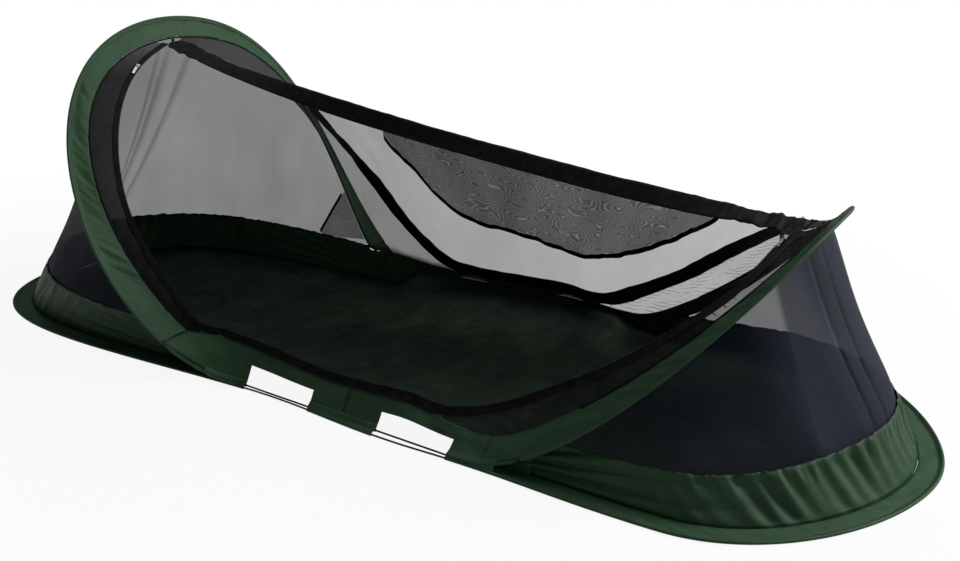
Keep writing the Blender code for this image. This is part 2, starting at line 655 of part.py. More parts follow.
ridge_columns = slice(1, LAST)
ridge_near = down(RIDGE_WIDTH, 1, LAST - 1)
crown = RIDGE[ridge_columns]
cloth("ridge_band", [ridge_near, (ridge_near + crown) / 2, crown, (mirrored(ridge_near) + crown) / 2,
                     mirrored(ridge_near)], BLACK)


def tie(name, apex, ridge_end):
    """A short strap from an arch's piping down to the end of the ridge band."""
    way = ridge_end - apex
    way /= np.linalg.norm(way)
    points = [apex + way * (PIPING_RADIUS + 2 * GAP), ridge_end - way * TIE_SEAM]
    half = np.array([0.0, TIE_WIDTH / 2, 0.0])
    return cloth(name, [np.array(points) - half, np.array(points) + half], BLACK, TIE_THICKNESS)


tie("head_ridge_tie", EDGE[0], RIDGE[1])
tie("foot_ridge_tie", EDGE[LAST], RIDGE[LAST - 1])

# Near side, with its door open: the fixed half of the zip and the two corners of netting below it

near_top, near_bottom = tape_lines(NEAR_ZIP, NEAR_TAPE_WIDTH)
tape_first, tape_last = columns_between(*TAPE_RUN)
cloth("near_zip_tape", panel_rows(near_top, near_bottom, tape_first, tape_last, 2), BLACK)
strip = FLOOR_LINE - near_bottom - SEAM * 2
wide = np.flatnonzero(strip > 0.004)
head_strip = [k for k in wide if SHARE[k] < 0.5 and k >= tape_first]
foot_strip = [k for k in wide if SHARE[k] > 0.5 and k <= tape_last]
for name, columns in [("near_head_net", head_strip), ("near_foot_net", foot_strip)]:
    if len(columns) > 1:
        cloth(name, panel_rows(near_bottom + SEAM * 2, FLOOR_LINE, columns[0], columns[-1], 2), NET)

# Far side, with its door closed: the zip, the door above it and the fixed netting round it

far_top, far_bottom = tape_lines(FAR_ZIP, FAR_TAPE_WIDTH)
far_first, far_last = columns_between(*FAR_ZIP_RUN)


def far_side(name, rows, material):
    """A piece of the far side, made from rows on the near side."""
    return cloth(name, [mirrored(row) for row in rows], material)


far_side("far_zip", panel_rows(far_top, far_bottom, far_first, far_last, 2), BLACK)
door_columns = [k for k in range(far_first, far_last + 1) if far_top[k] - CEILING_LINE[k] > 0.006]
far_side("far_door_net", panel_rows(CEILING_LINE, far_top - SEAM * 2, door_columns[0], door_columns[-1], NET_ROWS), NET)
head_top = np.where(SHARE < SHARE[far_first] - 1e-6, CEILING_LINE, far_bottom + SEAM * 2)
wide = np.flatnonzero(FLOOR_LINE - head_top > 0.004)
far_head_columns = [k for k in wide if k >= 2 and SHARE[k] < 0.5]
far_foot_columns = [k for k in wide if SHARE[k] > 0.55 and k <= far_last]
far_side("far_head_net", panel_rows(head_top, FLOOR_LINE, far_head_columns[0], far_head_columns[-1], NET_ROWS), NET)
far_side("far_foot_net", panel_rows(head_top, FLOOR_LINE, far_foot_columns[0], far_foot_columns[-1], 3), NET)

# Near door, thrown over the ridge: netting that hangs in soft folds on the far side, and its half of the zip

door_edge = path_depth(DOOR_EDGE)
door_first, door_last = columns_between(DOOR_START, DOOR_END)
door_slice = slice(door_first, door_last + 1)
run_along = np.gradient(RIDGE, axis=0)[door_slice]
fall_line = mirrored(EDGE)[door_slice] - RIDGE[door_slice]
outward = np.cross(run_along, fall_line)
outward /= np.linalg.norm(outward, axis=1)[:, None]
door_share = (SHARE[door_slice] - DOOR_START) / (DOOR_END - DOOR_START)
fold_wave = 0.5 - 0.5 * np.cos(2 * math.pi * DOOR_FOLDS * door_share)


def door_row(distance_share):
    """One row of the thrown-over door, a share of the way from the ridge to its free edge."""
    distance = 0.004 + (door_edge[door_slice] - DOOR_TAPE_WIDTH - 0.004) * distance_share
    base = mirrored(toward(RIDGE[door_slice], EDGE[door_slice], distance))
    proud = CLOTH + DOOR_LIFT + DOOR_FOLD_HEIGHT * distance_share * (0.4 + fold_wave)
    return base + outward * proud[:, None]


door_rows = [door_row(k / DOOR_ROWS) for k in range(DOOR_ROWS + 1)]
cloth("near_door_net", door_rows, NET)
edge_way = door_rows[-1] - door_rows[-2]
edge_way /= np.linalg.norm(edge_way, axis=1)[:, None]
tape_start = door_rows[-1] + edge_way * SEAM * 2
cloth("near_door_tape", [tape_start, tape_start + edge_way * DOOR_TAPE_WIDTH], BLACK)

# Corner pocket of netting inside the far head corner, sewn to the piping, with a bound open edge

leg = mirrored(EDGE[: HEAD_HINGE + 1])
sewn = leg[(leg[:, 2] < POCKET_TOP_Z) & (leg[:, 2] > POCKET_LOW_Z)]
pocket_edge = np.vstack([sewn, (leg[-1] + leg[-2]) / 2])
corner = np.array([HEAD_LEG_X, HEAD_LEG_Y, HOOP_WIRE_Z]) + np.array(POCKET_WALL_CORNER)
pocket_run, pocket_way = np.gradient(pocket_edge, axis=0), corner - pocket_edge
pocket_run /= np.linalg.norm(pocket_run, axis=1)[:, None]
pocket_way -= pocket_run * np.sum(pocket_way * pocket_run, axis=1)[:, None]
pocket_way /= np.linalg.norm(pocket_way, axis=1)[:, None]
inward_way = np.cross(pocket_run, pocket_way)
inward_way *= -np.sign(inward_way[:, [1]])
turn = np.radians(POCKET_TURN)
pocket_start = pocket_edge + (pocket_way * np.cos(turn) + inward_way * np.sin(turn)) * (PIPING_RADIUS + 2 * GAP)
blunt = (pocket_start[-1] - pocket_start[0]) / np.linalg.norm(pocket_start[-1] - pocket_start[0]) * POCKET_BLUNT
pocket_end = np.array([corner + blunt * (k / (len(sewn)) - 0.5) for k in range(len(pocket_edge))])
pocket_rows = [pocket_start + (pocket_end - pocket_start) * k / 4 for k in range(5)]
cloth("corner_pocket", pocket_rows, NET)
open_edge = np.array([row[0] for row in pocket_rows])
beside = open_edge - np.array([row[1] for row in pocket_rows])
beside /= np.linalg.norm(beside, axis=1)[:, None]
binding_start = open_edge + beside * (SEAM + GAP)
cloth("pocket_binding", [binding_start[1:], binding_start[1:] + beside[1:] * POCKET_BINDING], BLACK)

# Zip sliders: a body on the tape with a bridge over it, and a pull whose eye goes round the bridge


def as_mesh(obj):
    """Turns a tube into a mesh with its caps closed, so that it can be joined or cut."""
    bpy.context.view_layer.update()
    evaluated = obj.evaluated_get(bpy.context.evaluated_depsgraph_get())
    mesh = bpy.data.meshes.new_from_object(evaluated)
    shape = bmesh.new()
    shape.from_mesh(mesh)
    bmesh.ops.remove_doubles(shape, verts=shape.verts, dist=0.00001)
    shape.to_mesh(mesh)
    shape.free()
    name = obj.name
    solid = bpy.data.objects.new(name + "_solid", mesh)
    solid.matrix_world = obj.matrix_world
    bpy.data.objects.remove(obj, do_unlink=True)
    return solid


def block(name, size, place, bevel=0.0):
    """A block in the slider's own directions, with softened edges."""
    mesh = bpy.data.meshes.new(name)
    shape = bmesh.new()
    bmesh.ops.create_cube(shape, size=1.0)
    bmesh.ops.scale(shape, vec=size, verts=shape.verts)
    bmesh.ops.translate(shape, vec=place, verts=shape.verts)
    if bevel:
        bmesh.ops.bevel(shape, geom=shape.edges[:], offset=bevel, segments=2, affect="EDGES", profile=0.5)
    shape.to_mesh(mesh)
    shape.free()
    return bpy.data.objects.new(name, mesh)


def join(base, other, operation):
    """Joins another solid to the base, or cuts it away."""
    cutters.objects.link(other)
    other.hide_render = True
    other.display_type = "WIRE"
    change = base.modifiers.new(operation.lower(), "BOOLEAN")
    change.operation = operation
    change.solver = "EXACT"
    change.object = other


def slider_body(name):
    """The body and its bridge, with the tape below at z = 0 and the zip along x."""
    body = link(block(name, (SLIDER_LENGTH, SLIDER_WIDTH, SLIDER_HEIGHT), (0, 0, GAP + SLIDER_HEIGHT / 2), 0.0008),
                SILVER)
    top = GAP + SLIDER_HEIGHT
    crown = top + 2 * PIN_CLEARANCE + 2 * PIN_RADIUS + BRIDGE_RADIUS
    half = BRIDGE_LENGTH / 2
    arc = [(-half, 0, top - BRIDGE_RADIUS), (-half, 0, crown - 0.0008), (-half + 0.0008, 0, crown),
           (half - 0.0008, 0, crown), (half, 0, crown - 0.0008), (half, 0, top - BRIDGE_RADIUS)]
    bridge = as_mesh(tube(name + "_bridge", np.array(arc), BRIDGE_RADIUS, SILVER))
    join(body, bridge, "UNION")
    return body


def slider_pull(name):
    """The pull, with its pin at the origin and its blade lying along +x."""
    reach = PULL_LENGTH - PIN_RADIUS
    blade = link(block(name, (reach, PULL_WIDTH, PULL_THICKNESS), (reach / 2, 0, 0), 0.0003), SILVER)
    eye = block(name + "_eye", (PULL_EYE_LENGTH, PULL_EYE_WIDTH, 4 * PULL_THICKNESS),
                (PIN_RADIUS + PULL_EYE_LENGTH / 2, 0, 0))
    join(blade, eye, "DIFFERENCE")
    return blade


def place_slider(name, column, depth, side, run_sign, pull_sign):
    """A slider on a zip at one column, with its pull lying down the slope along the zip."""
    here = down(depth, column, column)[0]
    nearby = down(depth, column + run_sign, column + run_sign)[0]
    slope = EDGE[column] - RIDGE[column]
    flip = np.array([1.0, side, 1.0])
    run = Vector((nearby - here) * flip).normalized()
    out = run.cross(Vector(slope * flip)).normalized()
    if out.z < 0:
        out = -out
    foot = Vector(here * flip) + out * CLOTH / 2
    turn = Matrix((run, out.cross(run), out)).transposed().to_4x4()
    body = slider_body(f"{name}_slider")
    body.matrix_world = Matrix.Translation(foot) @ turn
    for change in body.modifiers:
        change.object.matrix_world = body.matrix_world @ change.object.matrix_world
    pin = foot + out * (GAP + SLIDER_HEIGHT + PIN_CLEARANCE + PIN_RADIUS)
    pull = slider_pull(f"{name}_pull")
    lie = run * pull_sign
    pull.matrix_world = Matrix.Translation(pin) @ Matrix((lie, out.cross(lie), out)).transposed().to_4x4()
    for change in pull.modifiers:
        change.object.matrix_world = pull.matrix_world
    print(name, "slider at", [round(c, 4) for c in foot], "run", [round(c, 4) for c in run],
          "pin at", [round(c, 5) for c in pin], "pin axis", [round(c, 4) for c in out.cross(lie)])
    return body, pull


near_middle = (near_top + near_bottom) / 2
far_middle = (far_top + far_bottom) / 2
near_head = place_slider("near_head", tape_first + 1, near_middle, 1, 1, 1)
near_foot = place_slider("near_foot", tape_last - 1, near_middle, 1, -1, 1)
far_foot = place_slider("far_foot", far_last - 1, far_middle, -1, -1, 1)

# What moves hangs from an empty on its joint's axis


def pivot(name, place, children, parent=None):
    """An empty on a joint's axis that carries the pieces that turn there."""
    holder = bpy.data.objects.new(name, None)
    tent.objects.link(holder)
    holder.location = place
    bpy.context.view_layer.update()
    for child in children:
        kept = child.matrix_world.copy()
        child.parent = holder
        child.matrix_parent_inverse = holder.matrix_world.inverted()
        child.matrix_world = kept
    if parent:
        kept = holder.matrix_world.copy()
        holder.parent = parent
        holder.matrix_world = kept
    return holder


def named(*names):
    """Objects of the tent by name."""
    return [bpy.data.objects[name] for name in names]


head_axis = (WIRE[HEAD_HINGE][0], 0.0, WIRE[HEAD_HINGE][2])
foot_axis = (WIRE[FOOT_HINGE][0], 0.0, WIRE[FOOT_HINGE][2])
pivot("head_arch_pivot", head_axis, named("head_arch_wire", "head_arch_band", "head_arch_piping", near_head[0].name))
pivot("foot_arch_pivot", foot_axis,
      named("foot_arch_wire", "foot_arch_band", "foot_arch_piping", near_foot[0].name, far_foot[0].name))
pivot("near_door_pivot", RIDGE[door_first], named("near_door_net", "near_door_tape"))
for body, pull in (near_head, near_foot, far_foot):
    kept = pull.matrix_world.copy()
    bpy.context.view_layer.update()
    pull.parent = body
    pull.matrix_world = kept

print("head hinge", WIRE[HEAD_HINGE], "foot hinge", WIRE[FOOT_HINGE])
print("door hinge", RIDGE[door_first], RIDGE[door_last])
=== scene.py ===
"""Looks of the pop-up mosquito net tent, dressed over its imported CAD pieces.

Metres, in the CAD's frame: +X from the head end to the foot end, -Y the near side with the open
door, +Z up, the ground at Z = 0. The sections follow the tent as it is put together.
"""

import math

import bpy
import numpy as np
from mathutils import Matrix, Vector


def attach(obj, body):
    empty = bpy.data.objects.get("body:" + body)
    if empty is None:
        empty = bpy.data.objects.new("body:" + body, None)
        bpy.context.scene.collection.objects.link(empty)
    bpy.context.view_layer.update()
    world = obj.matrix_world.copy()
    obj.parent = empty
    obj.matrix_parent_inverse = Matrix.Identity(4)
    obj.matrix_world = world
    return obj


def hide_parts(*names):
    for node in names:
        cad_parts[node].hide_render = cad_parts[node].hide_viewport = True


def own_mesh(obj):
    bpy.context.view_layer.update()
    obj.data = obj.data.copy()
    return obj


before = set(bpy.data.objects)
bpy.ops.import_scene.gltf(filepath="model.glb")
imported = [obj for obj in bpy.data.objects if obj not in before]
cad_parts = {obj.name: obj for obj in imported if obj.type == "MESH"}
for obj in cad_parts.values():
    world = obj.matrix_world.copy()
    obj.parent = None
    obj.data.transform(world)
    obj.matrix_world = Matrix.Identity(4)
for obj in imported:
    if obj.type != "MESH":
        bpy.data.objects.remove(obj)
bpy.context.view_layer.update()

# ------------------------------------------------------------------------------------------
# Base loop: one ring of black spring wire that lies on the ground, broad at the foot end. Its
# ends meet in a crimped ferrule on the far side. The wire is bare only in the four windows.

WIRE_RADIUS = 0.002
BASE_WIRE_Z = 0.0032
BASE_HALF_LENGTH = 1.15
HEAD_TIP_ROUND, FOOT_TIP_ROUND = 0.469, 0.186
HEAD_WIDE_X, HEAD_HALF_WIDTH = -0.200, 0.384
MIDDLE_HALF_WIDTH = 0.423
FOOT_WIDE_X, FOOT_HALF_WIDTH = 0.763, 0.449
TIP_EASE, SIDE_EASE = 0.55, 0.40
BASE_ARC_STEPS = 70


def bezier(corners, shares):
    """Points on a cubic curve at shares of its run."""
    a, b, c, d = (np.array(corner, float) for corner in corners)
    t = np.asarray(shares, float)[:, None]
    return (1 - t) ** 3 * a + 3 * (1 - t) ** 2 * t * b + 3 * (1 - t) * t * t * c + t ** 3 * d


def mirrored(points):
    """The same points on the other side of the tent."""
    return np.asarray(points) * np.array([1.0, -1.0, 1.0])


def unit(ways):
    """The same directions, with length 1."""
    return ways / np.linalg.norm(ways, axis=-1, keepdims=True)


def lengths(line):
    """Distance run along a line of points."""
    return np.concatenate([[0.0], np.cumsum(np.linalg.norm(np.diff(line, axis=0), axis=1))])


def at(line, marks, places):
    """Points of a line where its marks reach the given places."""
    return np.stack([np.interp(places, marks, line[:, k]) for k in range(3)], axis=-1)


def resampled(line, count):
    """A line cut evenly into a number of points."""
    run = lengths(line)
    return at(line, run, np.linspace(0, run[-1], count))


middle_x = (HEAD_WIDE_X + FOOT_WIDE_X) / 2
head_reach, foot_reach = HEAD_WIDE_X + BASE_HALF_LENGTH, BASE_HALF_LENGTH - FOOT_WIDE_X
head_side, foot_side = middle_x - HEAD_WIDE_X, FOOT_WIDE_X - middle_x
head_wide, foot_wide = (HEAD_WIDE_X, -HEAD_HALF_WIDTH, 0), (FOOT_WIDE_X, -FOOT_HALF_WIDTH, 0)
middle = (middle_x, -MIDDLE_HALF_WIDTH, 0)
base_arcs = [
    [(-BASE_HALF_LENGTH, 0, 0), (-BASE_HALF_LENGTH, -HEAD_TIP_ROUND, 0),
     (HEAD_WIDE_X - TIP_EASE * head_reach, -HEAD_HALF_WIDTH, 0), head_wide],
    [head_wide, (HEAD_WIDE_X + SIDE_EASE * head_side, -HEAD_HALF_WIDTH, 0),
     (middle_x - SIDE_EASE * head_side, -MIDDLE_HALF_WIDTH, 0), middle],
    [middle, (middle_x + SIDE_EASE * foot_side, -MIDDLE_HALF_WIDTH, 0),
     (FOOT_WIDE_X - SIDE_EASE * foot_side, -FOOT_HALF_WIDTH, 0), foot_wide],
    [foot_wide, (FOOT_WIDE_X + TIP_EASE * foot_reach, -FOOT_HALF_WIDTH, 0),
     (BASE_HALF_LENGTH, -FOOT_TIP_ROUND, 0), (BASE_HALF_LENGTH, 0, 0)],
]
arc_shares = np.linspace(0, 1, BASE_ARC_STEPS + 1)
near_outline = np.vstack([bezier(arc, arc_shares)[:-1] for arc in base_arcs])
foot_tip = np.array([[BASE_HALF_LENGTH, 0.0, 0.0]])
OUTLINE = np.vstack([near_outline, foot_tip, mirrored(near_outline)[1:][::-1]])
HALF_COUNT = len(OUTLINE) // 2 + 1
outline_run = np.roll(OUTLINE, -1, axis=0) - np.roll(OUTLINE, 1, axis=0)
INWARD = unit(np.stack([-outline_run[:, 1], outline_run[:, 0], 0 * outline_run[:, 0]], axis=1))


def inset(distance, height):
    """The base outline set in at a height, from the head tip round by the near side."""
    line = OUTLINE + INWARD * distance
    line[:, 2] = height
    return line


def strand(name, points, radius, finish, closed=False, sides=3):
    """A wire, cord or piping along a line of points."""
    bpy.ops.object.select_all(action="DESELECT")
    bpy.ops.curve.primitive_nurbs_path_add()
    piece = bpy.context.object
    piece.name = name
    curve = piece.data
    curve.splines.clear()
    spline = curve.splines.new("POLY")
    spline.points.add(len(points) - 1)
    for point, place in zip(spline.points, points):
        point.co = (*place, 1.0)
    spline.use_cyclic_u = closed
    curve.dimensions = "3D"
    curve.bevel_depth = radius
    curve.bevel_resolution = sides
    curve.use_fill_caps = not closed
    bpy.ops.object.convert(target="MESH")
    piece = bpy.context.object
    piece.data.name = name
    bpy.ops.object.mode_set(mode="EDIT")
    bpy.ops.mesh.select_all(action="SELECT")
    bpy.ops.mesh.remove_doubles(threshold=0.00002)
    bpy.ops.mesh.normals_make_consistent(inside=False)
    bpy.ops.object.mode_set(mode="OBJECT")
    bpy.ops.object.shade_smooth_by_angle(angle=math.radians(50))
    piece.data.materials.clear()
    piece.data.materials.append(finish)
    return piece


class Value:
    """A number that flows through a finish, so that a pattern can be written as a formula."""

    def __init__(self, finish, socket):
        self.finish, self.socket = finish, socket

    def maths(self, operation, *others, clamp=False):
        inputs = dict(enumerate((self, *others)))
        return self.finish.node("Math", inputs, operation=operation, use_clamp=clamp)

    def __add__(self, other):
        return self.maths("ADD", other)

    __radd__ = __add__

    def __sub__(self, other):
        return self.maths("SUBTRACT", other)

    def __rsub__(self, other):
        return (self * -1.0) + other

    def __mul__(self, other):
        return self.maths("MULTIPLY", other)

    __rmul__ = __mul__

    def __truediv__(self, other):
        return self.maths("DIVIDE", other)

    def wave(self, length):
        """A wave from -1 to 1 of the given length."""
        return (self * (2 * math.pi / length)).maths("SINE")

    def size(self):
        return self.maths("ABSOLUTE")

    def most(self, other):
        return self.maths("MAXIMUM", other)

    def share(self, period):
        """How far through its period a value is, from 0 to 1."""
        return (self / period).maths("FRACT")

    def within(self):
        return self.maths("ADD", 0.0, clamp=True)

    def step(self, low, high):
        """0 below low and 1 above high, with a soft edge."""
        return self.finish.node("MapRange", {0: self, 1: low, 2: high, 3: 0.0, 4: 1.0},
                                interpolation_type="SMOOTHSTEP")


class Finish:
    """A material built up node by node from what it is made of."""

    def __init__(self, name, colour, roughness, **constants):
        self.material = bpy.data.materials.new(name)
        self.material.use_nodes = True
        self.tree = self.material.node_tree
        self.shader = self.tree.nodes["Principled BSDF"]
        self.shader.inputs["Base Color"].default_value = (*colour, 1.0)
        self.shader.inputs["Roughness"].default_value = roughness
        for socket, value in constants.items():
            self.shader.inputs[socket.replace("_", " ")].default_value = value

    def node(self, kind, inputs, output=0, **settings):
        made = self.tree.nodes.new("ShaderNode" + kind)
        for setting, value in settings.items():
            setattr(made, setting, value)
        for key, value in inputs.items():
            if isinstance(value, Value):
                self.tree.links.new(value.socket, made.inputs[key])
            else:
                made.inputs[key].default_value = value
        return Value(self, made.outputs[output])

    def place(self):
        """Where the surface is, in metres."""
        return self.node("TexCoord", {}, output="Object")

    def parts(self, vector):
        """The first two numbers of a vector."""
        return [self.node("SeparateXYZ", {0: vector}, output=k) for k in (0, 1)]

    def cut(self):
        """Along and across the flat cut of the cloth, in metres."""
        return self.parts(self.node("UVMap", {}, uv_map="cut"))

    def mark(self, name):
        """A number kept on the mesh's points."""
        return self.node("Attribute", {}, output="Fac", attribute_name=name)

    def cloud(self, vector, scale, detail=2.0):
        """Uneven light and dark, from 0 to 1."""
        return self.node("TexNoise", {"Vector": vector, "Scale": scale, "Detail": detail})

    def spread(self, along, across):
        """A vector from numbers."""
        return self.node("CombineXYZ", {0: along, 1: across})

    def between(self, factor, dark, light):
        """A colour between two."""
        dark, light = (c if isinstance(c, Value) else (*c, 1.0) for c in (dark, light))
        return self.node("Mix", {0: factor, 6: dark, 7: light}, output=2, data_type="RGBA")

    def stitches(self, along, across, width, pitch):
        """A row of stitches, as far across the cut as the mark "seam" says."""
        row = 1.0 - (across - self.mark("seam")).size().step(0.0004, width)
        return row * (1.0 - (along.share(pitch) - 0.5).size().step(0.34, 0.40))

    def feed(self, socket, value):
        self.tree.links.new(value.socket, self.shader.inputs[socket])

    def relief(self, height, distance, strength=1.0):
        """Bumps of the given height in metres."""
        inputs = {"Height": height, "Distance": distance, "Strength": strength}
        self.feed("Normal", self.node("Bump", inputs))


def worn(name, colour, roughness, cloud, shades, polish, edges=None, grain=None, **constants):
    """A hard finish with clouds of wear, which change its shade and its polish, and a grain."""
    finish = Finish(name, colour, roughness, **constants)
    place = finish.place()
    wear = finish.cloud(place, *cloud)
    finish.feed("Base Color", finish.between(wear.step(*edges) if edges else wear, *shades))
    finish.feed("Roughness", wear * polish[0] + polish[1])
    if grain:
        scale, detail, height = grain
        finish.relief(finish.cloud(place, scale, detail), height)
    return finish.material


def dress(piece, body, slot, *nodes, folds=False):
    """Puts a piece on its body and hides the CAD nodes it stands for; with folds, gives the piece a mesh of
    its own. The slot is not used.
    """
    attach(piece, body)
    if nodes:
        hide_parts(*nodes)
    if folds:
        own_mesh(piece)


def refinish(slot, finish, *nodes):
    """Keeps rigid CAD pieces, with a better material."""
    for node in nodes:
        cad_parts[node].data.materials.clear()
        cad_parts[node].data.materials.append(finish)


spring_wire = worn(
    "spring_wire_black", (0.035, 0.035, 0.036), 0.34, Metallic=0.75, Specular_IOR_Level=0.5,
    cloud=(90.0, 4.0), edges=(0.52, 0.75), shades=((0.022, 0.022, 0.023), (0.080, 0.078, 0.075)),
    polish=(0.25, 0.24), grain=(900.0, 2.0, 0.00005))
crimp = worn(
    "ferrule_steel", (0.42, 0.42, 0.43), 0.36, Metallic=1.0,
    cloud=(160.0, 5.0), edges=(0.35, 0.7), shades=((0.26, 0.26, 0.27), (0.50, 0.50, 0.50)),
    polish=(0.3, 0.22), grain=(700.0, 3.0, 0.00008))

base_line = inset(WIRE_RADIUS, BASE_WIRE_Z)
base_wire = strand("base_wire_bare", base_line, WIRE_RADIUS, spring_wire, closed=True)
dress(base_wire, "tent_base", "spring_wire", "base_wire")
refinish("ferrule", crimp, "base_ferrule", "hoop_ferrule")

# ------------------------------------------------------------------------------------------
# Hoop loop: a second ring of the same wire. It runs straight along both sides and rises as the
# head arch and the foot arch. Its ends meet in a ferrule inside a far window.

HOOP_WIRE_Z = 0.0068
HEAD_LEG_X, HEAD_LEG_INSET, HEAD_LEG_PULL, HEAD_LEG_SPREAD = -0.188, 0.0082, -0.355, 0.076
HEAD_APEX_X, HEAD_APEX_Z, HEAD_SHOULDER, HEAD_APEX_LEAN = -0.720, 0.708, 0.576, 0.020
FOOT_LEG_X, FOOT_LEG_INSET, FOOT_LEG_PULL, FOOT_LEG_SPREAD = 0.383, 0.0056, 0.220, -0.020
FOOT_APEX_X, FOOT_APEX_Z, FOOT_SHOULDER, FOOT_APEX_LEAN = 0.927, 0.468, 0.280, -0.010
# How far each band's inner curve stands off its wire, corner by corner
HEAD_BAND_OFFSETS = np.array([
    (-0.048, 0.078, -0.0068), (0.066, 0.085, 0.035), (0.028, 0.006, -0.053), (0.020, 0.0, -0.046)])
FOOT_BAND_OFFSETS = np.array([
    (-0.063, 0.045, 0.0262), (-0.060, 0.033, 0.0062), (-0.035, 0.004, -0.036), (-0.036, 0.0, -0.030)])
# The side bands' upper edge: how far along, how far in from the base loop, and how high
SIDE_TOP = [
    (-0.285, 0.0468, 0.088), (-0.160, 0.0466, 0.075), (-0.035, 0.0419, 0.064), (0.060, 0.0461, 0.062),
    (0.146, 0.0542, 0.063), (0.220, 0.0595, 0.064), (0.300, 0.0572, 0.050), (0.390, 0.0579, 0.042),
    (0.460, 0.0726, 0.062),
]
HEAD_HINGE_SHARE, FOOT_HINGE_SHARE, FOOT_INNER_HINGE_SHARE = 0.20, 0.14, 0.33
WINDOWS = [(-0.188, -0.010), (0.165, 0.335)]
WINDOW_SHARE = 0.52
ARCH_STEPS, LOW_STEPS, SIDE_STEPS, SIDE_TOP_COUNT = 84, 18, 24, 800
BEYOND_HINGE = 1 / 14


def outline_y(x):
    """Half width of the base loop at a place along it."""
    return np.interp(x, OUTLINE[:HALF_COUNT, 0], -OUTLINE[:HALF_COUNT, 1])


def arch_curve(leg_x, leg_y, pull, spread, apex_x, apex_z, shoulder, lean):
    """Corners of the curve that an arch's near leg follows, from the ground to the apex."""
    return np.array([
        (leg_x, -leg_y, HOOP_WIRE_Z), (leg_x + pull, -(leg_y + spread), HOOP_WIRE_Z),
        (apex_x + lean, -shoulder, apex_z), (apex_x, 0.0, apex_z)])


def smooth_line(controls, count):
    """A smooth curve through all its control points, cut evenly."""
    points = np.array(controls, float)
    padded = np.vstack([2 * points[0] - points[1], points, 2 * points[-1] - points[-2]])
    cut = []
    for k in range(len(points) - 1):
        p0, p1, p2, p3 = padded[k : k + 4]
        for t in np.arange(0, 1, 0.02):
            cut.append(0.5 * (2 * p1 + (p2 - p0) * t + (2 * p0 - 5 * p1 + 4 * p2 - p3) * t * t
                              + (3 * p1 - p0 - 3 * p2 + p3) * t ** 3))
    return resampled(np.array(cut + [points[-1]]), count)


head_leg_y = outline_y(HEAD_LEG_X) - HEAD_LEG_INSET
foot_leg_y = outline_y(FOOT_LEG_X) - FOOT_LEG_INSET
head_curve = arch_curve(HEAD_LEG_X, head_leg_y, HEAD_LEG_PULL, HEAD_LEG_SPREAD,
                        HEAD_APEX_X, HEAD_APEX_Z, HEAD_SHOULDER, HEAD_APEX_LEAN)
foot_curve = arch_curve(FOOT_LEG_X, foot_leg_y, FOOT_LEG_PULL, FOOT_LEG_SPREAD,
                        FOOT_APEX_X, FOOT_APEX_Z, FOOT_SHOULDER, FOOT_APEX_LEAN)
side_marks = [HEAD_LEG_X, WINDOWS[0][1], *WINDOWS[1], FOOT_LEG_X]
side_x = np.concatenate([
    np.linspace(a, b, SIDE_STEPS + 1)[1:] for a, b in zip(side_marks, side_marks[1:])])
side_share = (side_x - HEAD_LEG_X) / (FOOT_LEG_X - HEAD_LEG_X)
side_y = -(head_leg_y + (foot_leg_y - head_leg_y) * side_share)
head_shares = np.linspace(1, HEAD_HINGE_SHARE, ARCH_STEPS + 1)
WIRE = np.vstack([
    bezier(head_curve, head_shares),
    bezier(head_curve, np.linspace(HEAD_HINGE_SHARE, 0, LOW_STEPS + 1)[1:]),
    np.stack([side_x, side_y, 0 * side_x + HOOP_WIRE_Z], axis=1),
    bezier(foot_curve, np.linspace(0, FOOT_HINGE_SHARE, LOW_STEPS + 1)[1:]),
    bezier(foot_curve, np.linspace(FOOT_HINGE_SHARE, 1, ARCH_STEPS + 1)[1:]),
])
HEAD_HINGE = ARCH_STEPS
FOOT_HINGE = HEAD_HINGE + 2 * LOW_STEPS + len(side_x)
LAST = len(WIRE) - 1

head_inner_curve, foot_inner_curve = head_curve + HEAD_BAND_OFFSETS, foot_curve + FOOT_BAND_OFFSETS
head_inner = bezier(head_inner_curve, head_shares)
foot_inner = bezier(foot_inner_curve, np.linspace(FOOT_INNER_HINGE_SHARE, 1, ARCH_STEPS + 1))
before_hinge, after_hinge = (
    bezier(curve, [share + (1 - share) * BEYOND_HINGE])[0] for curve, share in
    [(head_inner_curve, HEAD_HINGE_SHARE), (foot_inner_curve, FOOT_INNER_HINGE_SHARE)])
side_top = [(x, distance - outline_y(x), z) for x, distance, z in SIDE_TOP]
side_top = [before_hinge, head_inner[-1], *side_top, foot_inner[0], after_hinge]
side_top = smooth_line(side_top, SIDE_TOP_COUNT)
first, last = (
    np.argmin(np.linalg.norm(side_top - end, axis=1)) for end in (head_inner[-1], foot_inner[0]))
side_top = side_top[first : last + 1]
low_x = WIRE[HEAD_HINGE : FOOT_HINGE + 1, 0]
edge_x = np.interp(low_x, [low_x[0], HEAD_LEG_X, WINDOWS[1][1], low_x[-1]],
                   [side_top[0, 0], HEAD_LEG_X, WINDOWS[1][1], side_top[-1, 0]])
EDGE = np.vstack([head_inner[:-1], at(side_top, side_top[:, 0], edge_x), foot_inner[1:]])
SHARE = lengths(EDGE) / lengths(EDGE)[-1]


def both_ends(near_leg):
    """A line over an arch, up the near leg and down the far one."""
    return np.vstack([near_leg, mirrored(near_leg)[-2::-1]])


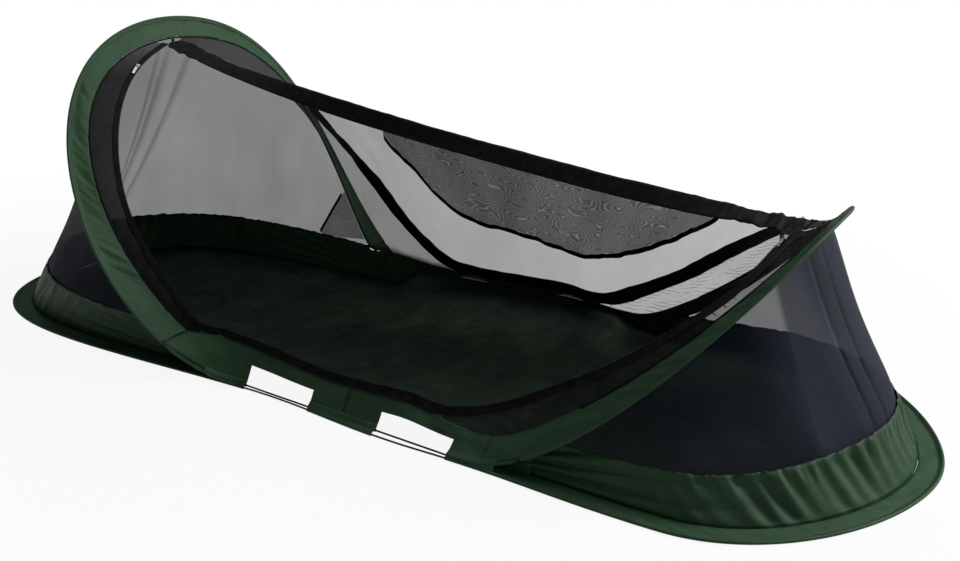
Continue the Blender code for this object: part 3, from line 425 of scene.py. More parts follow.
head_leg, foot_leg = WIRE[HEAD_HINGE::-1], WIRE[FOOT_HINGE:]
low_leg = WIRE[HEAD_HINGE : FOOT_HINGE + 1]
for name, line, body, nodes in [
    ("head_arch_rod", both_ends(head_leg)[1:-1], "head_arch", ["head_arch_wire"]),
    ("foot_arch_rod", both_ends(foot_leg)[1:-1], "foot_arch", ["foot_arch_wire"]),
    ("near_side_rod", low_leg, "tent_base", ["near_side_wire"]),
    ("far_side_rod", mirrored(low_leg), "tent_base", ["far_side_wire_head", "far_side_wire_foot"]),
]:
    dress(strand(name, line, WIRE_RADIUS, spring_wire), body, "spring_wire", *nodes)

# ------------------------------------------------------------------------------------------
# Base bands: flat bands of green nylon round the head end and the foot end. The outer edge is
# turned round the base wire as a sleeve and sewn down with one row of stitches.

BAND_WIDTH = 0.045
BAND_Z, HEM_Z = 0.0016, 0.0006
HEM_INSETS = (0.0075, 0.0100)
SLEEVE_RADIUS = 0.0032
SLEEVE_EASE = 0.0002
CLOTH_THICKNESS = 0.0006
END_COLUMNS = 420
HEAD_BAND_END_X, FOOT_BAND_END_X = -0.262, 0.412
UP = np.array([0.0, 0.0, 1.0])


def arcs_of(grid):
    """Distances along, from the middle column, and across a grid of points."""
    run, rise = (
        np.cumsum(np.linalg.norm(np.diff(grid, axis=way, prepend=grid.take([0], way)), axis=2), axis=way)
        for way in (1, 0))
    return run - run[:, [grid.shape[1] // 2]], rise


def bulge(shares, fullness=1.0):
    """0 at both ends of a run of shares and 1 in its middle."""
    return np.sin(math.pi * shares) ** fullness


def drift(along, across, seed, along_waves, across_waves, count=16):
    """Smooth unevenness from about -1 to 1, with so many waves per metre each way."""
    chance = np.random.default_rng(seed)
    total = np.zeros(np.broadcast(along, across).shape)
    for _ in range(count):
        f, g = chance.normal(0, along_waves), chance.normal(0, across_waves)
        phase = chance.uniform(0, 2 * math.pi)
        total = total + np.sin(2 * math.pi * (f * along + g * across) + phase)
    return total / math.sqrt(count)


def rippled(grid, height):
    """A sheet with its surface raised square to itself by a height at each point."""
    square = np.cross(np.gradient(grid, axis=1), np.gradient(grid, axis=0))
    square /= np.linalg.norm(square, axis=2, keepdims=True) + 1e-12
    return grid + square * height[..., None]


def lay_cloth(name, grid, finish, thickness=0.0, marks=None, holes=None):
    """A sheet laid through rows of points, with its flat cut in metres as its UV map."""
    rows, columns = grid.shape[:2]
    bpy.ops.object.select_all(action="DESELECT")
    bpy.ops.mesh.primitive_grid_add(x_subdivisions=columns - 1, y_subdivisions=rows - 1, size=1)
    piece = bpy.context.object
    piece.name = piece.data.name = name
    mesh = piece.data
    mesh.vertices.foreach_set("co", grid.reshape(-1).astype(np.float32))
    corners = np.empty(len(mesh.loops), int)
    mesh.loops.foreach_get("vertex_index", corners)
    flat = mesh.uv_layers.active
    flat.name = "cut"
    cut = np.stack([way.reshape(-1)[corners] for way in arcs_of(grid)], 1)
    flat.data.foreach_set("uv", cut.reshape(-1).astype(np.float32))
    for mark, value in (marks or {}).items():
        kept = mesh.attributes.new(mark, "FLOAT", "POINT")
        value = np.broadcast_to(value, (rows, columns)).reshape(-1)
        kept.data.foreach_set("value", value.astype(np.float32))
    if holes is not None:
        bpy.ops.object.mode_set(mode="EDIT")
        bpy.ops.mesh.select_all(action="DESELECT")
        bpy.ops.mesh.select_mode(type="FACE")
        bpy.ops.object.mode_set(mode="OBJECT")
        for face in mesh.polygons:
            face.select = bool(holes(face.index % (columns - 1), face.index // (columns - 1)))
        bpy.ops.object.mode_set(mode="EDIT")
        bpy.ops.mesh.delete(type="FACE")
        bpy.ops.object.mode_set(mode="OBJECT")
    if thickness:
        wall = piece.modifiers.new("cloth", "SOLIDIFY")
        wall.thickness, wall.offset = thickness, 0.0
        bpy.ops.object.modifier_apply(modifier=wall.name)
    bpy.ops.object.shade_smooth()
    mesh.materials.clear()
    mesh.materials.append(finish)
    return piece


def end_run(line, limit_x, is_head):
    """The part of a closed base line round one end, from near to far, cut evenly."""
    if is_head:
        whole = np.vstack([line[HALF_COUNT - 1 :], line[:HALF_COUNT]])[::-1]
        return resampled(whole[whole[:, 0] < limit_x], END_COLUMNS)
    return resampled(line[line[:, 0] > limit_x], END_COLUMNS)


def sleeve_round(middle, toward_band, square, turns):
    """Rows of cloth turned round a wire, from the band's face over the wire and back under it."""
    return [middle + SLEEVE_RADIUS * (math.cos(turn) * toward_band + math.sin(turn) * square)
            for turn in turns]


green = Finish("green_nylon_cloth", (0.018, 0.052, 0.024), 0.44, Specular_IOR_Level=0.15)
along, across = green.cut()
weave = along.wave(0.0009) * across.wave(0.0009)
blotch = green.cloud(green.place(), 5.0, 3.0)
crease = green.cloud(green.spread(along * 22.0, across * 34.0), 1.0, 4.0)
fine_crease = (crease - 0.5).size().step(0.0, 0.06)
stitches = green.stitches(along, across, 0.0011, 0.0032)
fell = green.mark("fell")
tone = green.between(blotch.step(0.3, 0.7), (0.017, 0.046, 0.021), (0.025, 0.062, 0.030))
# Lighter green where the crease cloud is high, which is where the crease relief is raised: a painted
# highlight on the wrinkle crests.
tone = green.between(crease.step(0.30, 0.75) * 0.55, tone, (0.034, 0.078, 0.042))
tone = green.between((stitches * 0.8).most(fell * 0.85), tone, (0.006, 0.012, 0.006))
green.feed("Base Color", tone)
green.feed("Roughness", crease * 0.22 + 0.40)
green.relief(fine_crease * 0.15 + crease * 0.6 + weave * 0.05 - stitches * 0.5 - fell * 0.6, 0.0016, 0.7)

ROUND_THE_WIRE = np.radians(np.arange(25, 341, 35))
for name, limit, is_head, seed in [("head", HEAD_BAND_END_X, True, 3), ("foot", FOOT_BAND_END_X, False, 4)]:
    flat_rows = [end_run(inset(distance, BAND_Z), limit, is_head)
                 for distance in np.linspace(BAND_WIDTH, 2.4 * SLEEVE_RADIUS, 9)]
    wire_middle = end_run(inset(WIRE_RADIUS, SLEEVE_RADIUS + SLEEVE_EASE), limit, is_head)
    wrap = sleeve_round(wire_middle, unit(flat_rows[0] - flat_rows[-1]), UP, ROUND_THE_WIRE)
    hem = [end_run(inset(distance, HEM_Z), limit, is_head) for distance in HEM_INSETS]
    smooth_band = np.stack(flat_rows + wrap + hem)
    run, rise = arcs_of(smooth_band)
    flat_share = np.clip(np.arange(len(smooth_band)) / (len(flat_rows) - 1), 0, 1)[:, None]
    lift = 0.0011 * drift(run, rise, seed, 9.0, 12.0) + 0.0008 * drift(run, rise, seed + 20, 26.0, 6.0)
    lift = np.maximum(lift * bulge(flat_share, 0.6), -0.0006)
    band_grid = smooth_band.copy()
    band_grid[..., 2] = np.maximum(smooth_band[..., 2] + lift, 0.0004)
    band = lay_cloth(f"{name}_base_band_cloth", band_grid, green.material, CLOTH_THICKNESS * 0.6,
                     marks={"seam": rise[len(flat_rows) - 1] - 0.002})
    dress(band, "tent_base", "green_cloth", f"{name}_base_band")

# ------------------------------------------------------------------------------------------
# Side bands: strips of the same green nylon along both sides between the arches. Their lower
# edge is the sleeve of the hoop's straight run, and two windows a side leave both wires bare.

SIDE_WINDOW_ROWS, SIDE_TOP_ROWS = 6, 8
SIDE_LAP = 0.0035
FELL_PLACES, FELL_WIDTH = (-0.262, 0.078, 0.405), 0.0022
SIDES = [("near", 1), ("far", -1)]
wire_low, edge_low = low_leg, EDGE[HEAD_HINGE : FOOT_HINGE + 1]


def on_side(grid, flip):
    """A near side grid, put on its own side."""
    return grid if flip > 0 else mirrored(grid)


def toward(start, end, distance):
    """From each start point, a distance along the way to its end point."""
    return start + unit(end - start) * np.reshape(distance, (-1, 1))


side_bottom = toward(wire_low, edge_low, SLEEVE_RADIUS + SLEEVE_EASE)
side_rim = toward(edge_low, wire_low, 0.0004)
side_shares = np.concatenate([
    np.linspace(0, WINDOW_SHARE, SIDE_WINDOW_ROWS + 1), np.linspace(WINDOW_SHARE, 1, SIDE_TOP_ROWS + 1)[1:]])
smooth_side = np.stack([side_bottom + (side_rim - side_bottom) * share for share in side_shares])
past_head = smooth_side[:, 0] + unit(smooth_side[:, 0] - smooth_side[:, 1]) * SIDE_LAP
past_foot = smooth_side[:, -1] + unit(smooth_side[:, -1] - smooth_side[:, -2]) * SIDE_LAP
side_at = wire_low[:, 0]
window_columns = [[int(np.argmin(np.abs(side_at - end))) for end in window] for window in WINDOWS]


def in_window(column, row):
    return row < SIDE_WINDOW_ROWS and any(first <= column < last for first, last in window_columns)


run, rise = arcs_of(smooth_side)
side_lift = 0.0016 * drift(run, rise, 11, 5.0, 9.0) + 0.0008 * drift(run, rise, 12, 14.0, 4.0)
side_lift = side_lift * bulge(side_shares, 0.7)[:, None]
fells = sum(np.exp(-(((smooth_side[..., 0] - place) / FELL_WIDTH) ** 2)) for place in FELL_PLACES)
for side, flip in SIDES:
    side_grid = rippled(smooth_side, side_lift)
    behind_by = np.array([0.0, 0.0006, -0.0004]) * flip
    side_grid[:, 0], side_grid[:, -1] = past_head + behind_by, past_foot + behind_by
    band = lay_cloth(f"{side}_side_band_cloth", on_side(side_grid, flip), green.material, CLOTH_THICKNESS,
                     marks={"seam": rise[-1] - 0.004, "fell": fells}, holes=in_window)
    dress(band, "tent_base", "green_cloth", f"{side}_side_band", folds=True)

# The sleeves stand apart from the band, because the wires stay where they are when it folds flat.
SLEEVE_RUNS = [(-0.40, -0.188), (-0.010, 0.165), (0.335, 0.560)]
WHOLE_TURN = np.linspace(0, 2 * math.pi, 13)


def ways_square(line, aside):
    """The ways square to a line: toward the line beside it, and out of the face between them."""
    tangent, way = unit(np.gradient(line, axis=0)), aside - line
    way = unit(way - tangent * np.sum(way * tangent, axis=1)[:, None])
    return way, np.cross(tangent, way)


for side, flip in SIDES:
    for k, (first_x, last_x) in enumerate(SLEEVE_RUNS):
        kept = (side_at >= first_x - 1e-6) & (side_at <= last_x + 1e-6)
        kept[[0, -1]] = False
        middle = wire_low[kept]
        smooth_sleeve = np.stack(sleeve_round(middle, *ways_square(middle, edge_low[kept]), WHOLE_TURN))
        run, rise = arcs_of(smooth_sleeve)
        sleeve_grid = rippled(smooth_sleeve, 0.0002 * drift(run, 0 * rise, 30 + k, 40.0, 0.0))
        sleeve = lay_cloth(f"{side}_hoop_sleeve_{k + 1}", on_side(sleeve_grid, flip), green.material,
                           marks={"seam": -1.0})
        dress(sleeve, "tent_base", "green_cloth")

# Between the windows a flap of the band goes on down, over the base wire and round it.
FLAP_RUNS = [(-0.286, -0.188), (-0.010, 0.165), (0.335, 0.438)]
FLAP_STEPS = ((0.013, 0.0008), (0.007, 0.0022), (0.003, 0.0040), (-0.001, 0.0043))
UNDER_THE_WIRE = np.radians([90, 55, 20, -15, -50, -85])
base_near = base_line[:HALF_COUNT]
for side, flip in SIDES:
    for k, (first_x, last_x) in enumerate(FLAP_RUNS):
        stations = np.linspace(first_x, last_x, 40)
        hoop_here, base_here = at(wire_low, side_at, stations), at(base_near, base_near[:, 0], stations)
        up_band = unit(at(edge_low, edge_low[:, 0], stations) - hoop_here)
        face = np.cross(np.gradient(hoop_here, axis=0), up_band)
        face = -unit(face) * np.sign(face[:, [1]])
        rows = [hoop_here + up_band * high + face * proud for high, proud in FLAP_STEPS]
        over = base_here + np.array([0.0, -0.0004, SLEEVE_RADIUS])
        rows += [rows[-1] + (over - rows[-1]) * share for share in (0.35, 0.7)]
        rows += sleeve_round(base_here, np.array([0.0, -1.0, 0.0]), UP, UNDER_THE_WIRE)
        smooth_flap = np.stack(rows)
        smooth_flap[..., 2] = np.maximum(smooth_flap[..., 2], 0.0003)
        flap = lay_cloth(f"{side}_base_flap_{k + 1}", on_side(smooth_flap, flip), green.material,
                         CLOTH_THICKNESS * 0.5, marks={"seam": -1.0})
        dress(flap, "tent_base", "green_cloth")

# ------------------------------------------------------------------------------------------
# Arch bands: a band of green nylon stands along each arch. Its outer edge is the sleeve round
# the wire, its inner edge is bound with black piping, and both are drawn into fine puckers.

PIPING_RADIUS = 0.002
HEAD_HINGE_CLEARANCE, FOOT_HINGE_CLEARANCE = 0.0015, 0.0049
ARCH_COLUMNS = 560

piping_cloth = worn(
    "black_piping_cloth", (0.004, 0.004, 0.004), 0.62, Specular_IOR_Level=0.05,
    cloud=(420.0, 2.0), shades=((0.003, 0.003, 0.003), (0.007, 0.007, 0.007)),
    polish=(0.3, 0.45), grain=(420.0, 2.0, 0.0003))

for name, outer_leg, inner_leg, clearance, seed in [
    ("head", head_leg, EDGE[HEAD_HINGE::-1], HEAD_HINGE_CLEARANCE, 41),
    ("foot", foot_leg, EDGE[FOOT_HINGE:], FOOT_HINGE_CLEARANCE, 42),
]:
    outer, inner = both_ends(outer_leg), both_ends(inner_leg)
    marks, gap = lengths(outer) / lengths(outer)[-1], clearance / lengths(outer)[-1]
    cut_marks = np.linspace(gap, 1 - gap, ARCH_COLUMNS)
    outer, inner = at(outer, marks, cut_marks), at(inner, marks, cut_marks)
    way, square = ways_square(outer, inner)
    start = toward(inner, outer, PIPING_RADIUS + 0.0002)
    stop = outer + way * SLEEVE_RADIUS * 1.5
    flat_rows = [start + (stop - start) * share for share in np.linspace(0, 1, 13)]
    wrap = sleeve_round(outer, way, square, ROUND_THE_WIRE)
    tuck = [outer + way * SLEEVE_RADIUS * reach - square * 0.0014 for reach in (1.7, 2.6)]
    smooth_arch = np.stack(flat_rows + wrap + tuck)
    run, rise = arcs_of(smooth_arch)
    flat_share = np.clip(np.arange(len(smooth_arch)) / (len(flat_rows) - 1), 0, 1)[:, None]
    pucker = 0.0011 * drift(run, rise, seed, 24.0, 5.0) + 0.0022 * drift(run, rise, seed + 1, 4.0, 7.0)
    pucker = pucker * bulge(flat_share, 0.6)
    pucker += 0.0005 * drift(run, rise, seed + 2, 60.0, 3.0) * (1 - flat_share) ** 2
    arch = lay_cloth(f"{name}_arch_band_cloth", rippled(smooth_arch, pucker), green.material,
                     CLOTH_THICKNESS * 0.6, marks={"seam": rise[len(flat_rows) - 1] - 0.002})
    dress(arch, f"{name}_arch", "green_cloth", f"{name}_arch_band")
    piping = strand(f"{name}_arch_piping_cord", inner, PIPING_RADIUS, piping_cloth)
    dress(piping, f"{name}_arch", "black_tape", f"{name}_arch_piping")

# ------------------------------------------------------------------------------------------
# Groundsheet: dark coated cloth under the sleeper. It is sewn under the ground bands at both
# ends, and rises at the sides to the seam above the windows. It keeps the creases of its packing.

FLOOR_FLAT_SHARE, FLOOR_EDGE_SHARE = 0.52, 0.66
FLOOR_LIFT_X = (-0.200, 0.345)
FLOOR_RAMP = 0.075
FLOOR_TIP_GAP = 0.012
FLOOR_COLUMNS, FLOOR_ROWS = 300, 97
GROUNDSHEET_TUCK = 0.010


def eased_step(share):
    """A step from 0 to 1 with a soft start and a soft end."""
    share = np.clip(share, 0, 1)
    return share ** 2 * (3 - 2 * share)


tuck_line = inset(BAND_WIDTH - GROUNDSHEET_TUCK, 0.0)[:HALF_COUNT]
tuck_line = tuck_line[np.argsort(tuck_line[:, 0])]
seam_line = wire_low + (edge_low - wire_low) * FLOOR_EDGE_SHARE
lift_head, lift_foot = FLOOR_LIFT_X
floor_x = np.linspace(tuck_line[0, 0] + FLOOR_TIP_GAP, tuck_line[-1, 0] - FLOOR_TIP_GAP, FLOOR_COLUMNS)
floor_y = np.interp(floor_x, tuck_line[:, 0], tuck_line[:, 1])
raised_y, raised_z = (np.interp(floor_x, seam_line[:, 0], seam_line[:, k]) for k in (1, 2))
lift = eased_step((floor_x - lift_head + FLOOR_RAMP) / FLOOR_RAMP) * eased_step(
    (lift_foot + FLOOR_RAMP - floor_x) / FLOOR_RAMP)
edge_y = floor_y * (1 - lift) + raised_y * lift
floor_shares = np.linspace(-1, 1, FLOOR_ROWS)
climb = np.maximum(0.0, (np.abs(floor_shares) - FLOOR_FLAT_SHARE) / (1 - FLOOR_FLAT_SHARE))[:, None]
smooth_floor = np.stack([
    floor_x + 0 * climb, -edge_y * floor_shares[:, None], 0.0006 + raised_z * lift * climb ** 1.6], axis=2)
floor_u, floor_v = smooth_floor[..., 0], smooth_floor[..., 1]
rumple = 0.0035 * drift(floor_u, floor_v, 61, 3.0, 3.0) + 0.0016 * drift(floor_u, floor_v, 62, 9.0, 9.0)
packing_folds = np.minimum(1, np.abs(np.sin(floor_u * 7.1 + 0.4)) * 9)
rumple = rumple + 0.0030 - 0.0018 * packing_folds
inside = np.minimum(1, (1 - np.abs(floor_shares)) * 9)[:, None] * np.minimum(
    1, (1 - np.abs(np.linspace(-1, 1, FLOOR_COLUMNS))) * 14)
floor_grid = smooth_floor.copy()
floor_grid[..., 2] += np.maximum(rumple, 0.0) * inside

coated = Finish("groundsheet_coated_cloth", (0.010, 0.020, 0.012), 0.46, Specular_IOR_Level=0.25)
along, across = coated.cut()
scuff = coated.cloud(coated.place(), 9.0, 4.0)
weave = along.wave(0.0012) * across.wave(0.0012)
pack_crease = coated.cloud(coated.spread(along * 9.0, across * 12.0), 1.0, 5.0)
off_crease = (pack_crease - 0.5).size()
tone = coated.between(scuff.step(0.30, 0.72), (0.010, 0.021, 0.012), (0.017, 0.034, 0.020))
tone = coated.between(off_crease.step(0.0, 0.03) * -0.5 + 0.5, tone, (0.028, 0.050, 0.032))
coated.feed("Base Color", tone)
coated.feed("Roughness", scuff * 0.25 + 0.36)
coated.relief(off_crease.step(0.0, 0.05) * 0.18 + pack_crease * 0.6 + weave * 0.05, 0.0022, 0.7)

floor_cloth = lay_cloth("groundsheet_cloth", floor_grid, coated.material, CLOTH_THICKNESS)
dress(floor_cloth, "tent_base", "groundsheet", "groundsheet", folds=True)

# ------------------------------------------------------------------------------------------
# End walls: low walls of green nylon, sewn to the inner edge of the base band below and to the
# netting above. They are gathered at both seams and drawn into long folds towards the sides.

WALL_STARTS = {"head": (-0.320, -0.200), "foot": (0.470, 0.350)}
WALL_COLUMNS, WALL_ROWS, SIDE_WALL_COLUMNS = 640, 18, 36
WALL_FELL_WIDTH = 0.0016


def end_lines(leg_columns, start_x, is_head, spread, low, rise, width):
    """Places round one end panel, with its ground line, wall top line and arch line."""
    top = both_ends(EDGE[leg_columns])
    ground = end_run(inset(BAND_WIDTH + 0.0006, 0.0010), start_x, is_head)
    around = np.linspace(-1, 1, WALL_COLUMNS)
    bottom = (1 + np.sign(around) * np.abs(around) ** spread) / 2
    top = at(top, lengths(top) / lengths(top)[-1], (1 + around) / 2)
    ground = at(ground, lengths(ground) / lengths(ground)[-1], bottom)
    arch_line = toward(top, ground, 0.0012)
    tall = np.maximum(arch_line[:, 2] - ground[:, 2], 1e-4)
    share = np.minimum(1.0, (low + rise * np.exp(-((around / width) ** 2))) / tall)
    return around, ground, ground + (arch_line - ground) * share[:, None], arch_line


def behind_side_band(start_x, stop_x, count):
    """The wall's last piece at the side, from the groundsheet's raised edge to the band's rim."""
    x = np.linspace(start_x, stop_x, count)
    rim = at(edge_low, edge_low[:, 0], x) + np.array([0.0, 0.0016, -0.0012])
    low_z = np.maximum(np.interp(x, floor_x, raised_z * lift) - 0.0002, 0.0006)
    return np.stack([x, np.interp(x, floor_x, edge_y) + 0.0030, low_z], axis=1), rim


head_wall_columns = np.arange(HEAD_HINGE + LOW_STEPS // 2, -1, -1)
foot_wall_columns = np.arange(FOOT_HINGE - LOW_STEPS // 3, LAST + 1)
END_LINES = {
    "head": end_lines(head_wall_columns, WALL_STARTS["head"][0], True, 1.9, 0.080, 0.066, 0.64),
    "foot": end_lines(foot_wall_columns, WALL_STARTS["foot"][0], False, 1.0, 0.062, 0.042, 0.50),
}
for name, (around, ground, wall_top, arch_line) in END_LINES.items():
    wall_start = wall_top[0, 0] + (0.002 if name == "head" else -0.002)
    end_low, end_rim = behind_side_band(WALL_STARTS[name][1], wall_start, SIDE_WALL_COLUMNS)
    ground = np.vstack([end_low, ground, mirrored(end_low)[::-1]])
    wall_top = np.vstack([end_rim, wall_top, mirrored(end_rim)[::-1]])
    around = np.pad(around, SIDE_WALL_COLUMNS, mode="edge")
    up = np.linspace(0, 1, WALL_ROWS)[:, None]
    smooth_wall = np.stack([ground + (wall_top - ground) * share for share in up[:, 0]])
    run, rise = arcs_of(smooth_wall)
    toward_side = np.clip((np.abs(around) - 0.30) / 0.45, 0, 1)[None, :]
    from_hinge = (run[:, [-1]] - np.abs(run)) + 0.012
    fan = np.arctan2(rise + 0.004, from_hinge)
    reach = np.minimum(from_hinge, 0.20)
    uneven = 0.45 + 0.75 * np.abs(drift(run, 0 * rise, 56, 3.0, 0.0, 7))
    pleat = 0.0056 * drift(run + rise * 0.25, rise, 51, 17.0, 1.6, 9) * uneven
    pleat = pleat * (0.35 + 0.65 * up) * (1 - 0.75 * toward_side)
    top_gather = np.exp(-((1 - up) / 0.30) ** 2) * (1 - 0.5 * toward_side)
    pleat += 0.0020 * drift(run, rise, 52, 44.0, 2.0) * top_gather
    long_fold = (1.25 * np.abs(0.058 * reach * np.sin(fan * 34.0 + 0.9)) - 0.029 * reach) * toward_side
    long_fold = long_fold * np.clip(1.6 - from_hinge / 0.42, 0, 1)
    sag = -0.004 * bulge(up) * (1 - toward_side)
    sewn_edges = np.minimum(1, 8 * up) * (0.25 + 0.75 * np.minimum(1, 6 * (1 - up)))
    tall_share = np.minimum(1, (wall_top - ground)[:, 2] / 0.05) * np.where(np.abs(around) < 1, 1.0, 0.15)
    wall_grid = rippled(smooth_wall, (pleat + long_fold + sag) * sewn_edges * tall_share)
    between_sides = np.where(np.abs(around) < 0.95, 1.0, 0.0)
    wall_grid[..., 2] += up ** 6 * 0.0012 * drift(run, 0 * rise, 57, 40.0, 0.0) * between_sides
    wall_grid[..., 2] = np.maximum(wall_grid[..., 2], np.minimum(smooth_wall[..., 2], 0.0010))
    wall_fell = np.exp(-((rise[-1] - rise) / WALL_FELL_WIDTH) ** 2) * 0.8
    wall = lay_cloth(f"{name}_wall_cloth", wall_grid, green.material, CLOTH_THICKNESS * 0.6,
                     marks={"seam": 0.0035, "fell": wall_fell})
    dress(wall, "tent_base", "green_cloth", f"{name}_wall", folds=True)

# ------------------------------------------------------------------------------------------
# End nets: fine black mosquito netting between the end walls and the arches. It is cut flat and
# drawn between two curves, so it hangs in straight folds from the arch down to the wall.

NET_PITCH = 0.0014
END_NET_ROWS = 30
# Places and widths of the folds, as shares of half the panel. The head netting is denser along them; the foot
# netting is thinned along them, a painted highlight.
NET_FOLDS = {
    "head": [(-0.035, 0.009), (0.0, 0.014), (0.075, 0.012)],
    "foot": [(-0.145, 0.007), (-0.085, 0.008)],
}


def netting(name, colour, streaks=0.05, moire=0.0, gathers=0.0):
    """Black mesh cloth: how closed it is comes from the mark "cover", and it thickens in folds."""
    net = Finish(name, colour, 0.70, Specular_IOR_Level=0.12)
    along, across = net.cut()
    thread, cross_thread = ((way.share(NET_PITCH) - 0.5).size().step(0.26, 0.42) for way in (along, across))
    threads = thread.most(cross_thread)
    streak = net.cloud(net.spread(along * 11.0 + across * 2.0, across * 2.2), 1.0) - 0.5
    patch = net.cloud(net.place(), 4.5) - 0.5
    closed = net.mark("cover") + (threads - 0.5) * 0.16 + streak * (streaks * 4) + patch * 0.08
    if moire:
        swirl = net.cloud(net.spread(along * 7.0, across * 12.0), 1.0, 1.0)
        rings = swirl.wave(0.026).most(0.0)
        closed = closed - rings * rings * moire
    if gathers:
        wander = net.cloud(net.spread(along * 4.0, across * 9.0), 1.0, 1.0)
        aslant = across - along * 0.76 + wander * 0.022
        drawn_line = 1.0 - (aslant.share(0.017) - 0.5).size().step(0.02, 0.10)
        broken = net.cloud(net.spread(along * 9.0, across * 30.0), 1.0, 1.0).step(0.40, 0.58)
        closed = closed + drawn_line * broken * net.mark("drawn") * gathers
    net.feed("Alpha", closed.within())
    shades = (tuple(shade * channel for channel in colour) for shade in (0.75, 1.5))
    net.feed("Base Color", net.between((streak + 0.5).step(0.3, 0.8), *shades))
    net.relief(threads * 0.4 + streak * 2.0, 0.0008, 0.6)
    return net.material


def soft_step(places, edge, width):
    """A smooth step from 0 to 1 over an edge."""
    return 1 / (1 + np.exp(-(places - edge) / width))


# The same black netting as the sides, given a lighter, bluish colour: the lighter shade is painted light on
# the lit end nets.
end_netting_painted_lit = netting("end_netting_mesh", (0.011, 0.015, 0.027), streaks=0.02)

for name, (around, ground, wall_top, arch_line) in END_LINES.items():
    tall = np.flatnonzero(np.linalg.norm(arch_line - wall_top, axis=1) > 0.0025)
    first, last = tall[0], tall[-1] + 1
    low = toward(wall_top[first:last], ground[first:last], 0.0060)
    rows = np.linspace(0, 1, END_NET_ROWS)[:, None]
    smooth_net = np.stack([low + (arch_line[first:last] - low) * share for share in rows[:, 0]])
    run, rise = arcs_of(smooth_net)
    tall_share = np.minimum(1, rise[-1] / 0.12)[None, :]
    centre = around[first:last][None, :]
    slant = (1 - rows) * 0.03
    folded = sum(np.exp(-(((centre - slant - place) / wide) ** 2)) for place, wide in NET_FOLDS[name])
    folds = 0.0030 * drift(centre, 0 * centre, 71, 3.0, 0.0) - 0.0035 * folded
    inward = 1 if name == "head" else -1
    hollow = 0.010 * inward * bulge(rows)
    behind_wall = 0.0040 * inward * np.exp(-rows / 0.06)
    net_grid = rippled(smooth_net, ((folds + hollow) * bulge(rows, 0.5) + behind_wall) * tall_share)
    if name == "head":
        density = 0.77 + 0.15 * np.exp(-(((centre + 0.50) / 0.30) ** 2)) + 0.09 * folded * bulge(rows, 0.3)
    else:
        doubled = soft_step(centre, -0.275 - slant, 0.004) - soft_step(centre, 0.45, 0.03)
        # Thinner along the folds, so that they show paler: a painted highlight on the fold lines.
        density = 0.62 + 0.29 * doubled - 0.13 * folded
    net = lay_cloth(f"{name}_end_netting_painted_lit", net_grid, end_netting_painted_lit, marks={"cover": density})
    dress(net, "tent_base", "netting", f"{name}_end_net", folds=True)

# ------------------------------------------------------------------------------------------
# Ridge band: black nylon tape cloth folded over the ridge, from the head arch to the foot arch.
# Near the foot it is gathered and wrinkled. A short woven strap ties each end to an arch.

RIDGE_HEAD_STEP, RIDGE_FOOT_STEP = (-0.003, -0.014), (-0.005, -0.002)
RIDGE_SAG, RIDGE_HALF_WIDTH = 0.024, 0.041
RIDGE_COLUMNS = 520
STRAP_HALF_WIDTH, STRAP_THICKNESS = 0.005, 0.0011

ridge_head_x, ridge_head_z = EDGE[0, 0] + RIDGE_HEAD_STEP[0], EDGE[0, 2] + RIDGE_HEAD_STEP[1]
ridge_foot_x, ridge_foot_z = EDGE[-1, 0] + RIDGE_FOOT_STEP[0], EDGE[-1, 2] + RIDGE_FOOT_STEP[1]
ridge_share = 0.35 * eased_step(SHARE) + 0.65 * SHARE
ridge_x = ridge_head_x + (ridge_foot_x - ridge_head_x) * ridge_share
ridge_z = ridge_head_z + (ridge_foot_z - ridge_head_z) * ridge_share
RIDGE = np.stack([ridge_x, 0 * ridge_x, ridge_z - 4 * RIDGE_SAG * ridge_share * (1 - ridge_share)], axis=1)
DEPTH = np.linalg.norm(EDGE - RIDGE, axis=1)
RIDGE_WIDTH = np.minimum(RIDGE_HALF_WIDTH, 0.45 * DEPTH)


def panel(shares, depths):
    """Points on the near side panel: shares along the hoop, and distances down from the ridge."""
    ridge, edge = at(RIDGE, SHARE, shares), at(EDGE, SHARE, shares)
    return ridge + unit(edge - ridge) * np.asarray(depths)[..., None]


def panel_rows(shares, top, bottom, count):
    """Rows of points on the near side panel between two lines."""
    return np.stack([panel(shares, top + (bottom - top) * share) for share in np.linspace(0, 1, count)])


black = Finish("black_nylon_tape", (0.006, 0.006, 0.006), 0.62, Specular_IOR_Level=0.06)
along, across = black.cut()
rib = along.wave(0.0011)
lint = black.cloud(black.place(), 60.0, 4.0)
rumpled = black.cloud(black.spread(along * 30.0, across * 12.0), 1.0, 3.0)
stitches = black.stitches(along, across, 0.0010, 0.0030)
tone = black.between(lint.step(0.35, 0.75), (0.0045, 0.0045, 0.0047), (0.0105, 0.0105, 0.0110))
black.feed("Base Color", black.between(stitches * 0.7, tone, (0.016, 0.016, 0.017)))
black.feed("Roughness", lint * 0.25 + 0.44)
black.relief(rib * 0.06 + rumpled * 0.8 - stitches * 0.4, 0.0012, 0.7)

